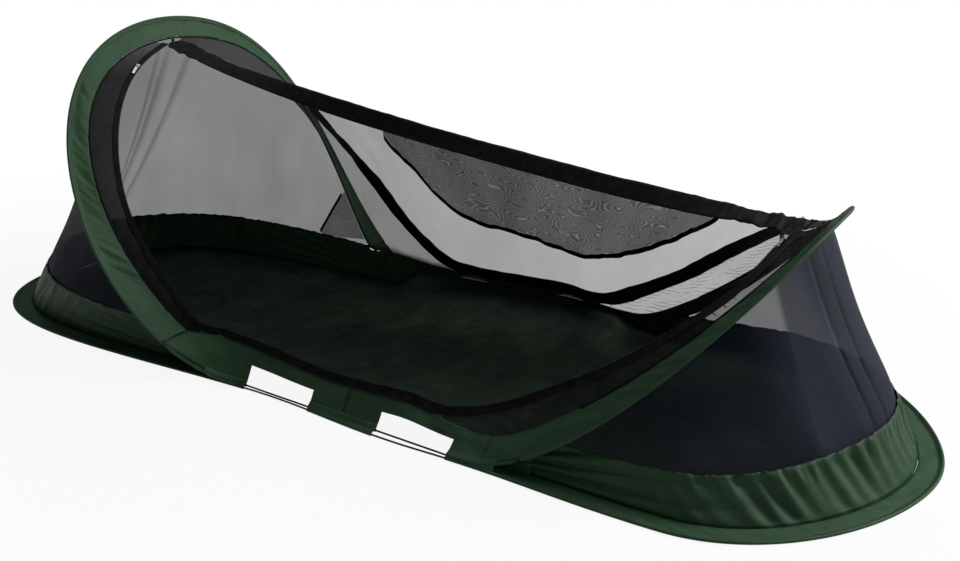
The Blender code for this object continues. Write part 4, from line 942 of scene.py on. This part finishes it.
ridge_shares = np.linspace(SHARE[1], SHARE[-2], RIDGE_COLUMNS)
half_width = np.interp(ridge_shares, SHARE, RIDGE_WIDTH)
down_shares = np.linspace(1, 0, 9)
near_rows = [panel(ridge_shares, half_width * share) for share in down_shares]
smooth_ridge = np.stack(near_rows + [mirrored(row) for row in near_rows[-2::-1]])
run, rise = arcs_of(smooth_ridge)
out_from_crown = np.concatenate([down_shares, down_shares[-2::-1]])[:, None]
toward_foot = np.clip((smooth_ridge[..., 0] - 0.60) / 0.24, 0, 1)
toward_head = np.clip((-0.52 - smooth_ridge[..., 0]) / 0.12, 0, 1)
wrinkle = 0.0003 * drift(run, rise, 81, 22.0, 7.0) + 0.0005 * drift(run, rise, 82, 4.0, 10.0)
foot_bunch = 0.0034 * drift(run, rise, 83, 18.0, 14.0) + 0.0022 * drift(run, rise, 84, 34.0, 9.0)
wrinkle += toward_foot * foot_bunch
wrinkle += toward_head * 0.0018 * drift(run, rise, 85, 22.0, 12.0)
from_ends = np.minimum(ridge_shares - ridge_shares[0], ridge_shares[-1] - ridge_shares)
ease = np.minimum(1, from_ends / 0.01)[None, :]
ridge_grid = rippled(smooth_ridge, -wrinkle * ease)
ridge_grid[..., 2] += 0.0008 * (1 - out_from_crown) * ease
ridge_cloth = lay_cloth("ridge_band_cloth", ridge_grid, black.material, CLOTH_THICKNESS,
                        marks={"seam": 0.004})
dress(ridge_cloth, "tent_base", "black_tape", "ridge_band", folds=True)

for name, apex, ridge_end in [("head", EDGE[0], RIDGE[1]), ("foot", EDGE[LAST], RIDGE[LAST - 1])]:
    way = unit(ridge_end - apex)
    start, stop = apex + way * (PIPING_RADIUS + 0.0006), ridge_end - way * 0.0012
    shares = np.linspace(0, 1, 12)
    strap_rows = []
    for side_step in np.linspace(-STRAP_HALF_WIDTH, STRAP_HALF_WIDTH, 7):
        line = start + (stop - start) * shares[:, None]
        line[:, 1] += side_step * (1 - 0.18 * bulge(shares))
        strap_rows.append(line + np.cross(way, [0.0, 1.0, 0.0]) * (0.0004 * math.cos(side_step * 400)))
    strap = lay_cloth(f"{name}_ridge_strap", np.stack(strap_rows), black.material, STRAP_THICKNESS,
                      marks={"seam": 0.001})
    dress(strap, "tent_base", "black_tape", f"{name}_ridge_tie", folds=True)

# ------------------------------------------------------------------------------------------
# Near side: half of the door's zip, black tape with a row of nylon coil on its free edge, runs
# round the opening. Strips of netting join it to the arch bands, gathered across their width.

TAPE_THICKNESS = 0.0007
TAPE_WIDTH = {"near": np.interp(SHARE, [0.30, 0.62], [0.0120, 0.0190]), "far": 0.046, "door": 0.019}
# The zips and the door's free edge: shares along the hoop, and shares of the way down the panel
NEAR_ZIP = [(0.020, 0.50), (0.055, 0.62), (0.092, 0.717), (0.142, 0.80), (0.188, 0.858), (0.246, 0.915),
            (0.292, 0.930), (0.346, 0.950), (0.400, 1.0), (0.620, 1.0), (0.650, 0.950), (0.704, 0.875),
            (0.742, 0.867), (0.783, 0.875), (0.850, 0.865), (0.890, 0.86), (0.915, 0.78), (0.940, 0.45)]
FAR_ZIP = [(0.262, 0.0), (0.287, 0.183), (0.312, 0.283), (0.362, 0.358), (0.396, 0.508), (0.412, 0.667),
           (0.442, 0.808), (0.467, 0.942), (0.492, 1.0), (0.625, 1.0), (0.692, 0.808), (0.750, 0.758),
           (0.800, 0.683), (0.863, 0.600), (0.915, 0.52), (0.940, 0.45)]
DOOR_EDGE = [(0.380, 0.02), (0.396, 0.150), (0.412, 0.242), (0.433, 0.300), (0.463, 0.467), (0.500, 0.575),
             (0.550, 0.615), (0.625, 0.667), (0.655, 0.630), (0.708, 0.533), (0.767, 0.458), (0.821, 0.308),
             (0.845, 0.10)]
TAPE_START, FAR_START, TAPE_END = 0.024, 0.275, 0.962
NEAR_TAPE_COLUMNS, STRIP_COLUMNS, STRIP_ROWS = 900, 420, 14
COIL_WIDTH, FAR_COIL_WIDTH, COIL_PITCH = 0.0034, 0.0052, 0.0027
COIL_STRAND, COIL_HEIGHT, COIL_LIFT = 0.00032, 0.0006, 0.0010

along_edge, down_panel = unit(np.gradient(EDGE, axis=0)), unit(EDGE - RIDGE)
squareness = np.sqrt(np.maximum(1 - np.sum(along_edge * down_panel, axis=1) ** 2, 0.09))
column = np.arange(LAST + 1)
piped = np.where((column <= HEAD_HINGE) | (column >= FOOT_HINGE), PIPING_RADIUS, 0.0)
FLOOR_LINE = DEPTH - (piped * 0.5 + 0.0002) / squareness
CEILING_LINE = RIDGE_WIDTH + 0.0004


def eased(values, reach):
    """A line of numbers with its corners rounded off."""
    window = np.hanning(2 * reach + 3)[1:-1]
    return np.convolve(np.pad(values, reach, mode="edge"), window / window.sum(), mode="valid")


def eased_by_share(values, reach):
    """The same, by even steps along the hoop."""
    even = np.linspace(0, 1, 1000)
    return np.interp(SHARE, even, eased(np.interp(even, SHARE, values), int(1000 * reach)))


def smooth_path(path):
    """A line given by a few points, drawn smoothly, at every place along the hoop."""
    drawn = smooth_line([(share, down, 0.0) for share, down in path], 700)
    return eased_by_share(np.interp(SHARE, np.maximum.accumulate(drawn[:, 0]), drawn[:, 1]), 0.022)


def tape_lines(path, width):
    """Top and bottom of a zip tape as distances from the ridge."""
    middle = eased(smooth_path(path) * DEPTH, 5)
    way = (EDGE - RIDGE) / DEPTH[:, None]
    run = unit(np.gradient(RIDGE + way * middle[:, None], axis=0))
    aslant = np.sqrt(np.maximum(1 - np.sum(run * way, axis=1) ** 2, 0.16))
    width = eased(width / aslant, 5)
    highest, lowest = CEILING_LINE + 0.0004 + width / 2, FLOOR_LINE - 0.0004 - width / 2
    for _ in range(3):
        middle = eased_by_share(np.clip(middle, highest, lowest), 0.018)
    middle = np.minimum(middle, lowest)
    at_rim = np.clip((middle + width / 2 - FLOOR_LINE + 0.008) / 0.008, 0, 1)
    return middle - width / 2, middle + width / 2 + SIDE_LAP * at_rim


coil_nylon = worn(
    "black_coil_nylon", (0.006, 0.006, 0.006), 0.38, Specular_IOR_Level=0.3,
    cloud=(300.0, 2.0), shades=((0.004, 0.004, 0.004), (0.010, 0.010, 0.011)), polish=(0.25, 0.26))


def coil(name, grid, row, side, body, width=COIL_WIDTH):
    """One strand of nylon monofilament, wound in a flat spiral and sewn along a row of the tape."""
    across_way = unit(grid[min(row + 1, len(grid) - 1)] - grid[max(row - 1, 0)])
    out = unit(np.cross(np.gradient(grid[row], axis=0), across_way))
    out *= np.sign(out[:, [1]] * side + 1e-9)
    line = grid[row] + out * COIL_LIFT
    run = lengths(line)
    turns = int((run[-1] - 0.004) / COIL_PITCH)
    places = np.linspace(0.002, run[-1] - 0.002, turns * 8 + 1)
    angle = np.linspace(0, 2 * math.pi * turns, turns * 8 + 1)[:, None]
    middle, out, across_way = at(line, run, places), at(out, run, places), at(across_way, run, places)
    spiral = middle + across_way * np.cos(angle) * (width / 2 - 0.0003) + out * np.sin(angle) * COIL_HEIGHT
    dress(strand(name, spiral, COIL_STRAND, coil_nylon, sides=0), body, "black_tape", folds=True)


side_netting = netting("side_netting_mesh", (0.006, 0.006, 0.007), streaks=0.03, gathers=0.34)

tape_from, tape_to = SHARE[SHARE >= TAPE_START][0], SHARE[SHARE <= TAPE_END][-1]
tape_shares = np.linspace(tape_from, tape_to, NEAR_TAPE_COLUMNS)
near_bottom_all = tape_lines(NEAR_ZIP, TAPE_WIDTH["near"])[1]
near_top, near_bottom = (
    np.interp(tape_shares, SHARE, line) for line in tape_lines(NEAR_ZIP, TAPE_WIDTH["near"]))
smooth_tape = panel_rows(tape_shares, near_top, near_bottom, 7)
run, rise = arcs_of(smooth_tape)
tape_grid = rippled(smooth_tape, 0.0006 * drift(run, rise, 91, 12.0, 4.0) - 0.0014)
near_tape = lay_cloth("near_zip_tape_cloth", tape_grid, black.material, TAPE_THICKNESS, marks={"seam": 0.019})
dress(near_tape, "tent_base", "black_tape", "near_zip_tape", folds=True)
coil("near_zip_coil", tape_grid, 0, -1, "tent_base")

strip_all = FLOOR_LINE - near_bottom_all - 0.0008
for name, low_share, high_share, density, drawn in [
    ("head", TAPE_START, 0.5, 0.72, 0.25), ("foot", 0.5, TAPE_END, 0.60, 1.0),
]:
    wide = np.flatnonzero((strip_all > 0.003) & (SHARE >= low_share) & (SHARE <= high_share))
    shares = np.linspace(SHARE[wide[0]], SHARE[wide[-1]], STRIP_COLUMNS)
    top, bottom = (np.interp(shares, SHARE, line) for line in (near_bottom_all, FLOOR_LINE))
    smooth_strip = panel_rows(shares, top - 0.0030, bottom, STRIP_ROWS)
    run, rise = arcs_of(smooth_strip)
    if name == "head":
        density = density + 0.24 * np.clip((shares - 0.05) / 0.06, 0, 1)
    pull = bulge(np.linspace(0, 1, STRIP_ROWS), 0.6)[:, None] * np.minimum(1, rise[-1] / 0.05)
    strip_grid = rippled(smooth_strip, 0.0008 + pull * (0.0018 * drift(run, rise, 95, 26.0, 3.0) - 0.003))
    strip = lay_cloth(f"near_{name}_netting", strip_grid, side_netting,
                      marks={"cover": density, "drawn": drawn})
    dress(strip, "tent_base", "netting", f"near_{name}_net", folds=True)

# ------------------------------------------------------------------------------------------
# Far side: a door of netting hangs from the ridge, closed by a wide black zip with its coil down
# the middle. Fixed netting fills the rest, in soft folds that run down from the ridge.

RIDGE_LAP, TAPE_LAP, RIM_LAP = 0.005, 0.009, 0.004
FAR_TAPE_COLUMNS, FAR_NET_COLUMNS, FAR_NET_ROWS, FAR_FOOT_ROWS = 760, 420, 34, 16

far_netting = netting("far_netting_mesh", (0.005, 0.005, 0.0055), streaks=0.025, gathers=0.34)

far_shares = np.linspace(SHARE[SHARE >= FAR_START][0], tape_to, FAR_TAPE_COLUMNS)
far_top_all, far_bottom_all = tape_lines(FAR_ZIP, TAPE_WIDTH["far"])
far_top, far_bottom = (np.interp(far_shares, SHARE, line) for line in (far_top_all, far_bottom_all))
smooth_far = panel_rows(far_shares, far_top, far_bottom, 9)
run, rise = arcs_of(smooth_far)
far_grid = mirrored(rippled(smooth_far, 0.0010 + 0.0006 * drift(run, rise, 101, 10.0, 4.0)))
far_tape = lay_cloth("far_zip_tape_cloth", far_grid, black.material, TAPE_THICKNESS, marks={"seam": 0.005})
dress(far_tape, "tent_base", "black_tape", "far_zip", folds=True)
coil("far_zip_coil", far_grid, 4, 1, "tent_base", FAR_COIL_WIDTH)

under_ridge = CEILING_LINE - RIDGE_LAP
door_wide = (far_top_all - CEILING_LINE > 0.006) & (SHARE >= FAR_START) & (SHARE <= TAPE_END)
fixed_top = np.where(SHARE < FAR_START, under_ridge, far_bottom_all - TAPE_LAP)
fixed_wide = FLOOR_LINE - fixed_top > 0.003
head_part, foot_part = (SHARE > 0.008) & (SHARE < 0.5), (SHARE > 0.55) & (SHARE <= TAPE_END)
rim = FLOOR_LINE + RIM_LAP
for name, wide, top, bottom, rows, (head_density, foot_density), drawn in [
    ("far_door", door_wide, under_ridge, far_top_all + TAPE_LAP, FAR_NET_ROWS, (0.70, 0.50), 0.0),
    ("far_head", fixed_wide & head_part, fixed_top, rim, FAR_NET_ROWS, (0.78, 0.78), 0.0),
    ("far_foot", fixed_wide & foot_part, fixed_top, rim, FAR_FOOT_ROWS, (0.60, 0.60), 1.0),
]:
    first, last = SHARE[wide][0], SHARE[wide][-1]
    shares = np.linspace(first, last, FAR_NET_COLUMNS)
    smooth_net = panel_rows(shares, np.interp(shares, SHARE, top), np.interp(shares, SHARE, bottom), rows)
    run, rise = arcs_of(smooth_net)
    down = np.linspace(0, 1, rows)[:, None]
    held_edges = bulge(down, 0.6) * np.minimum(1, rise[-1] / 0.10)
    swing = shares * 20 + 0 * down
    folds = 0.0040 * drift(swing, down, 111, 0.5, 0.4) + 0.0018 * drift(swing, down, 112, 1.6, 0.3)
    net_grid = mirrored(rippled(smooth_net, held_edges * (folds - 0.004) - 0.0010))
    density = head_density + (foot_density - head_density) * (shares - first) / (last - first)
    if name == "far_head":
        # Denser along its lower edge by the head arch: a darker edge of netting that paints the shade on the
        # far leg of the arch.
        density = density + 0.20 * np.exp(-((rise[-1] - rise) / 0.018) ** 2)
    net = lay_cloth(f"{name}_netting", net_grid, far_netting, marks={"cover": density, "drawn": drawn})
    dress(net, "tent_base", "netting", f"{name}_net", folds=True)

# ------------------------------------------------------------------------------------------
# Near door: the netting door is unzipped and thrown over the ridge. It hangs down the far side
# in loose folds, with its half of the zip along the free edge.

DOOR_START, DOOR_END = 0.400, 0.825
DOOR_TOP = 0.004
DOOR_LIFT, DOOR_FOLD_HEIGHT, DOOR_FOLDS = 0.0014, 0.005, 4
DOOR_COLUMNS, DOOR_ROWS = 460, 34
DOOR_CREASE_DOWN, DOOR_CREASE_RISE, DOOR_CREASE_WIDTH = 0.040, 0.026, 0.0035

door_netting = netting("door_netting_mesh", (0.008, 0.008, 0.009), streaks=0.05, moire=0.22)
door_first, door_last = SHARE[SHARE >= DOOR_START][0], SHARE[SHARE <= DOOR_END][-1]
door_shares = np.linspace(door_first, door_last, DOOR_COLUMNS)
downs = eased(smooth_path(DOOR_EDGE) * DEPTH, 6)
door_drop = np.interp(door_shares, SHARE, downs) - TAPE_WIDTH["door"]
door_ridge, door_foot_line = at(RIDGE, SHARE, door_shares), mirrored(at(EDGE, SHARE, door_shares))
outward = unit(np.cross(np.gradient(door_ridge, axis=0), door_foot_line - door_ridge))
door_share = (door_shares - DOOR_START) / (DOOR_END - DOOR_START)
fold_wave = 0.5 - 0.5 * np.cos(2 * math.pi * DOOR_FOLDS * door_share)
door_rows, hanging = [], []
for share in np.linspace(0, 1, DOOR_ROWS):
    base = mirrored(panel(door_shares, DOOR_TOP + (door_drop - DOOR_TOP) * share))
    small = 0.0016 * share * drift(door_share * 2.0, share + 0 * door_share, 121, 6.0, 0.5)
    proud = CLOTH_THICKNESS + DOOR_LIFT + DOOR_FOLD_HEIGHT * share * (0.4 + fold_wave)
    proud = proud + small * bulge(door_share)
    door_rows.append(base + outward * proud[:, None])
    hanging.append(base)
smooth_door = np.stack(hanging)
run, rise = arcs_of(smooth_door)
crease_at = DOOR_CREASE_DOWN - DOOR_CREASE_RISE * door_share
crease = np.exp(-(((rise - crease_at) / DOOR_CREASE_WIDTH) ** 2)) * np.clip(6 * (1 - door_share), 0, 1)
door_grid = rippled(np.stack(door_rows), -0.003 * crease)
door_net = lay_cloth("near_door_netting", door_grid, door_netting, marks={"cover": 0.84 + 0.13 * crease})
dress(door_net, "near_door", "netting", "near_door_net", folds=True)

edge_fall = unit(door_grid[-1] - door_grid[-2])
smooth_edge = np.stack([
    door_grid[-1] + edge_fall * (0.0006 + TAPE_WIDTH["door"] * share) for share in np.linspace(0, 1, 6)])
run, rise = arcs_of(smooth_edge)
door_tape = lay_cloth("near_door_tape_cloth", rippled(smooth_edge, 0.0006 * drift(run, rise, 122, 16.0, 8.0)),
                      black.material, TAPE_THICKNESS, marks={"seam": 0.003})
dress(door_tape, "near_door", "black_tape", "near_door_tape", folds=True)
coil("near_door_coil", smooth_edge, 5, 1, "near_door")

# ------------------------------------------------------------------------------------------
# Foot gussets: doubled black nylon in the two corners where the ridge, the zips and the foot arch
# meet. They take the pull of the ridge, and are bunched by it.

GUSSET_START, GUSSET_DEPTH = 0.930, 0.070
GUSSET_COLUMNS, GUSSET_ROWS = 90, 14

gusset_shares = np.linspace(GUSSET_START, SHARE[-2], GUSSET_COLUMNS)
gusset_top = np.interp(gusset_shares, SHARE, CEILING_LINE) - 0.003
gusset_bottom = np.minimum(np.interp(gusset_shares, SHARE, FLOOR_LINE), gusset_top + GUSSET_DEPTH)
smooth_gusset = panel_rows(gusset_shares, gusset_top, gusset_bottom, GUSSET_ROWS)
run, rise = arcs_of(smooth_gusset)
bunch = 0.0024 * drift(run, rise, 131, 14.0, 10.0) * bulge(np.linspace(0.04, 0.96, GUSSET_COLUMNS), 0.5)
bunch = bunch * bulge(np.linspace(0.05, 0.95, GUSSET_ROWS), 0.5)[:, None]
for side, flip in SIDES:
    gusset_grid = on_side(rippled(smooth_gusset, bunch * (1.0 if flip > 0 else 0.8) + 0.0018), flip)
    gusset = lay_cloth(f"{side}_foot_gusset", gusset_grid, black.material, CLOTH_THICKNESS,
                       marks={"seam": 0.004})
    dress(gusset, "tent_base", "black_tape", folds=True)

# ------------------------------------------------------------------------------------------
# Corner pocket: a triangle of doubled netting inside the far head corner, sewn along the arch
# piping, with black binding on its open edge.

POCKET_HEIGHTS = (0.098, 0.224)
POCKET_CORNER = (-0.3535, -0.0258, 0.0892)
POCKET_BLUNT, POCKET_TURN = 0.010, math.radians(50)
POCKET_COLUMNS, POCKET_ROWS = 60, 22
# Round the open edge: how far past it, and on which face of the net
BINDING_FOLD = [
    (0.0000, 1), (0.0025, 1), (0.0050, 1), (0.0070, 1), (0.0078, 0.5), (0.0080, 0),
    (0.0078, -0.5), (0.0070, -1), (0.0050, -1), (0.0025, -1), (0.0000, -1),
]

pocket_netting = netting("pocket_netting_mesh", (0.010, 0.010, 0.011), streaks=0.03, moire=0.16)
pocket_leg = mirrored(EDGE[: HEAD_HINGE + 1])
pocket_leg = pocket_leg[(pocket_leg[:, 2] < POCKET_HEIGHTS[1]) & (pocket_leg[:, 2] > POCKET_HEIGHTS[0])]
pocket_leg = resampled(pocket_leg, POCKET_COLUMNS)
pocket_corner = np.array([HEAD_LEG_X, head_leg_y, HOOP_WIRE_Z]) + np.array(POCKET_CORNER)
way, out = ways_square(pocket_leg, pocket_corner)
out = -out * np.sign(out[:, [1]])
piping_side = way * math.cos(POCKET_TURN) + out * math.sin(POCKET_TURN)
pocket_start = pocket_leg + piping_side * (PIPING_RADIUS + 0.0006)
columns, rows = np.linspace(0, 1, POCKET_COLUMNS), np.linspace(0, 1, POCKET_ROWS)
blunt = unit(pocket_start[-1] - pocket_start[0]) * POCKET_BLUNT
pocket_end = pocket_corner + blunt * (columns[:, None] - 0.5)
smooth_pocket = np.stack([pocket_start + (pocket_end - pocket_start) * share for share in rows])
run, rise = arcs_of(smooth_pocket)
pouch = (0.0026 + 0.0016 * drift(run, rise, 141, 10.0, 8.0)) * bulge(rows)[:, None] * bulge(columns, 0.6)
pocket_grid = rippled(smooth_pocket, pouch)
pocket = lay_cloth("corner_pocket_netting", pocket_grid, pocket_netting, marks={"cover": 0.74})
dress(pocket, "tent_base", "netting", "corner_pocket", folds=True)

open_edge = pocket_grid[:, 0]
beside = unit(open_edge - pocket_grid[:, 2])
binding_out = np.cross(unit(np.gradient(open_edge, axis=0)), beside)
binding_grid = np.stack([
    open_edge + beside * reach + binding_out * (0.0006 * face) for reach, face in BINDING_FOLD])[:, 2:]
binding = lay_cloth("pocket_binding_tape", binding_grid, black.material, marks={"seam": 0.002})
dress(binding, "tent_base", "black_tape", "pocket_binding", folds=True)

# ------------------------------------------------------------------------------------------
# Zip sliders and pulls: die-cast zinc, plated bright, with a hanging pull on each. The sliders
# and pulls are the CAD's own shapes.

zinc = worn(
    "zip_bright_zinc", (0.52, 0.52, 0.53), 0.30, Metallic=1.0,
    cloud=(260.0, 4.0), edges=(0.35, 0.7), shades=((0.16, 0.16, 0.165), (0.42, 0.42, 0.42)),
    polish=(0.28, 0.14), grain=(900.0, 2.0, 0.00006))
refinish("zip_metal", zinc, "near_head_slider", "near_head_pull", "near_foot_slider", "near_foot_pull",
         "far_foot_slider", "far_foot_pull")

# ------------------------------------------------------------------------------------------
# Studio: a white sweep under soft light, and the camera where the photograph was taken from.

CAMERA_AZIMUTH, CAMERA_ELEVATION, CAMERA_ROLL = 29.24, 19.63, 0.773
CAMERA_PLACE = (1.2393, -1.9123, 0.9776)
CAMERA_FOCAL_PIXELS, PHOTO_WIDTH, SENSOR_WIDTH = 1054.2, 960, 36.0
WHITE = (1.0, 1.0, 1.0, 1.0)
AMBIENT_STRENGTH = 0.11
SOFTBOXES = [
    # name, place, aim, size and power in watts
    ("key_softbox", (3.3, 2.2, 2.8), (0.3, 0.0, 0.1), 1.8, 250.0),
    ("top_softbox", (-0.4, 0.9, 4.2), (0.0, 0.0, 0.2), 2.6, 55.0),
    ("front_softbox", (3.4, -2.6, 2.0), (0.2, 0.0, 0.2), 2.0, 13.0),
]

bpy.ops.object.select_all(action="DESELECT")
bpy.ops.mesh.primitive_plane_add(size=40.0, location=(0, 0, -0.0005))
sweep = bpy.context.object
sweep.name = "studio_floor"
paper = Finish("studio_paper", (0.62, 0.62, 0.62), 0.9, Specular_IOR_Level=0.1)
along, across = paper.parts(paper.place())
far_off = (along * along * 0.55 + across * across).step(0.4, 3.2)
seen = paper.node("LightPath", {}, output="Is Camera Ray")
for ray in ("Is Glossy Ray", "Is Transmission Ray"):
    seen = seen.most(paper.node("LightPath", {}, output=ray))
white = paper.node("Emission", {"Color": WHITE, "Strength": 1.0})
lit_paper = Value(paper, paper.shader.outputs[0])
mix = paper.node("MixShader", {0: seen * (far_off * 0.09 + 0.91), 1: lit_paper, 2: white})
paper.tree.links.new(mix.socket, paper.tree.nodes["Material Output"].inputs[0])
sweep.data.materials.append(paper.material)

world = bpy.data.worlds.new("studio_world")
world.use_nodes = True
bpy.context.scene.world = world
tree = world.node_tree
background = tree.nodes["Background"]
background.inputs["Color"].default_value = WHITE
rays = tree.nodes.new("ShaderNodeLightPath")
seen = tree.nodes.new("ShaderNodeMath")
seen.operation = "MAXIMUM"
tree.links.new(rays.outputs["Is Camera Ray"], seen.inputs[0])
tree.links.new(rays.outputs["Is Transmission Ray"], seen.inputs[1])
strength = tree.nodes.new("ShaderNodeMapRange")
tree.links.new(seen.outputs[0], strength.inputs[0])
strength.inputs["To Min"].default_value = AMBIENT_STRENGTH
strength.inputs["To Max"].default_value = 1.0
tree.links.new(strength.outputs[0], background.inputs["Strength"])

for name, place, aim, size, power in SOFTBOXES:
    bpy.ops.object.light_add(type="AREA", location=place)
    lamp = bpy.context.object
    lamp.name = name
    lamp.data.size = size
    lamp.data.energy = power
    lamp.rotation_mode = "QUATERNION"
    lamp.rotation_quaternion = (Vector(aim) - Vector(place)).to_track_quat("-Z", "Y")

bpy.ops.object.camera_add(location=CAMERA_PLACE)
camera = bpy.context.object
camera.name = "photo_camera"
camera.data.sensor_width = SENSOR_WIDTH
camera.data.lens = CAMERA_FOCAL_PIXELS / PHOTO_WIDTH * SENSOR_WIDTH
camera.matrix_world = Matrix.Translation(CAMERA_PLACE)
for angle, axis in [(CAMERA_AZIMUTH, "Z"), (90 - CAMERA_ELEVATION, "X"), (CAMERA_ROLL, "Z")]:
    camera.matrix_world = camera.matrix_world @ Matrix.Rotation(math.radians(angle), 4, axis)
camera.data.clip_start, camera.data.clip_end = 0.01, 100.0
bpy.context.scene.camera = camera
bpy.context.scene.view_settings.view_transform = "Standard"

bpy.context.view_layer.update()
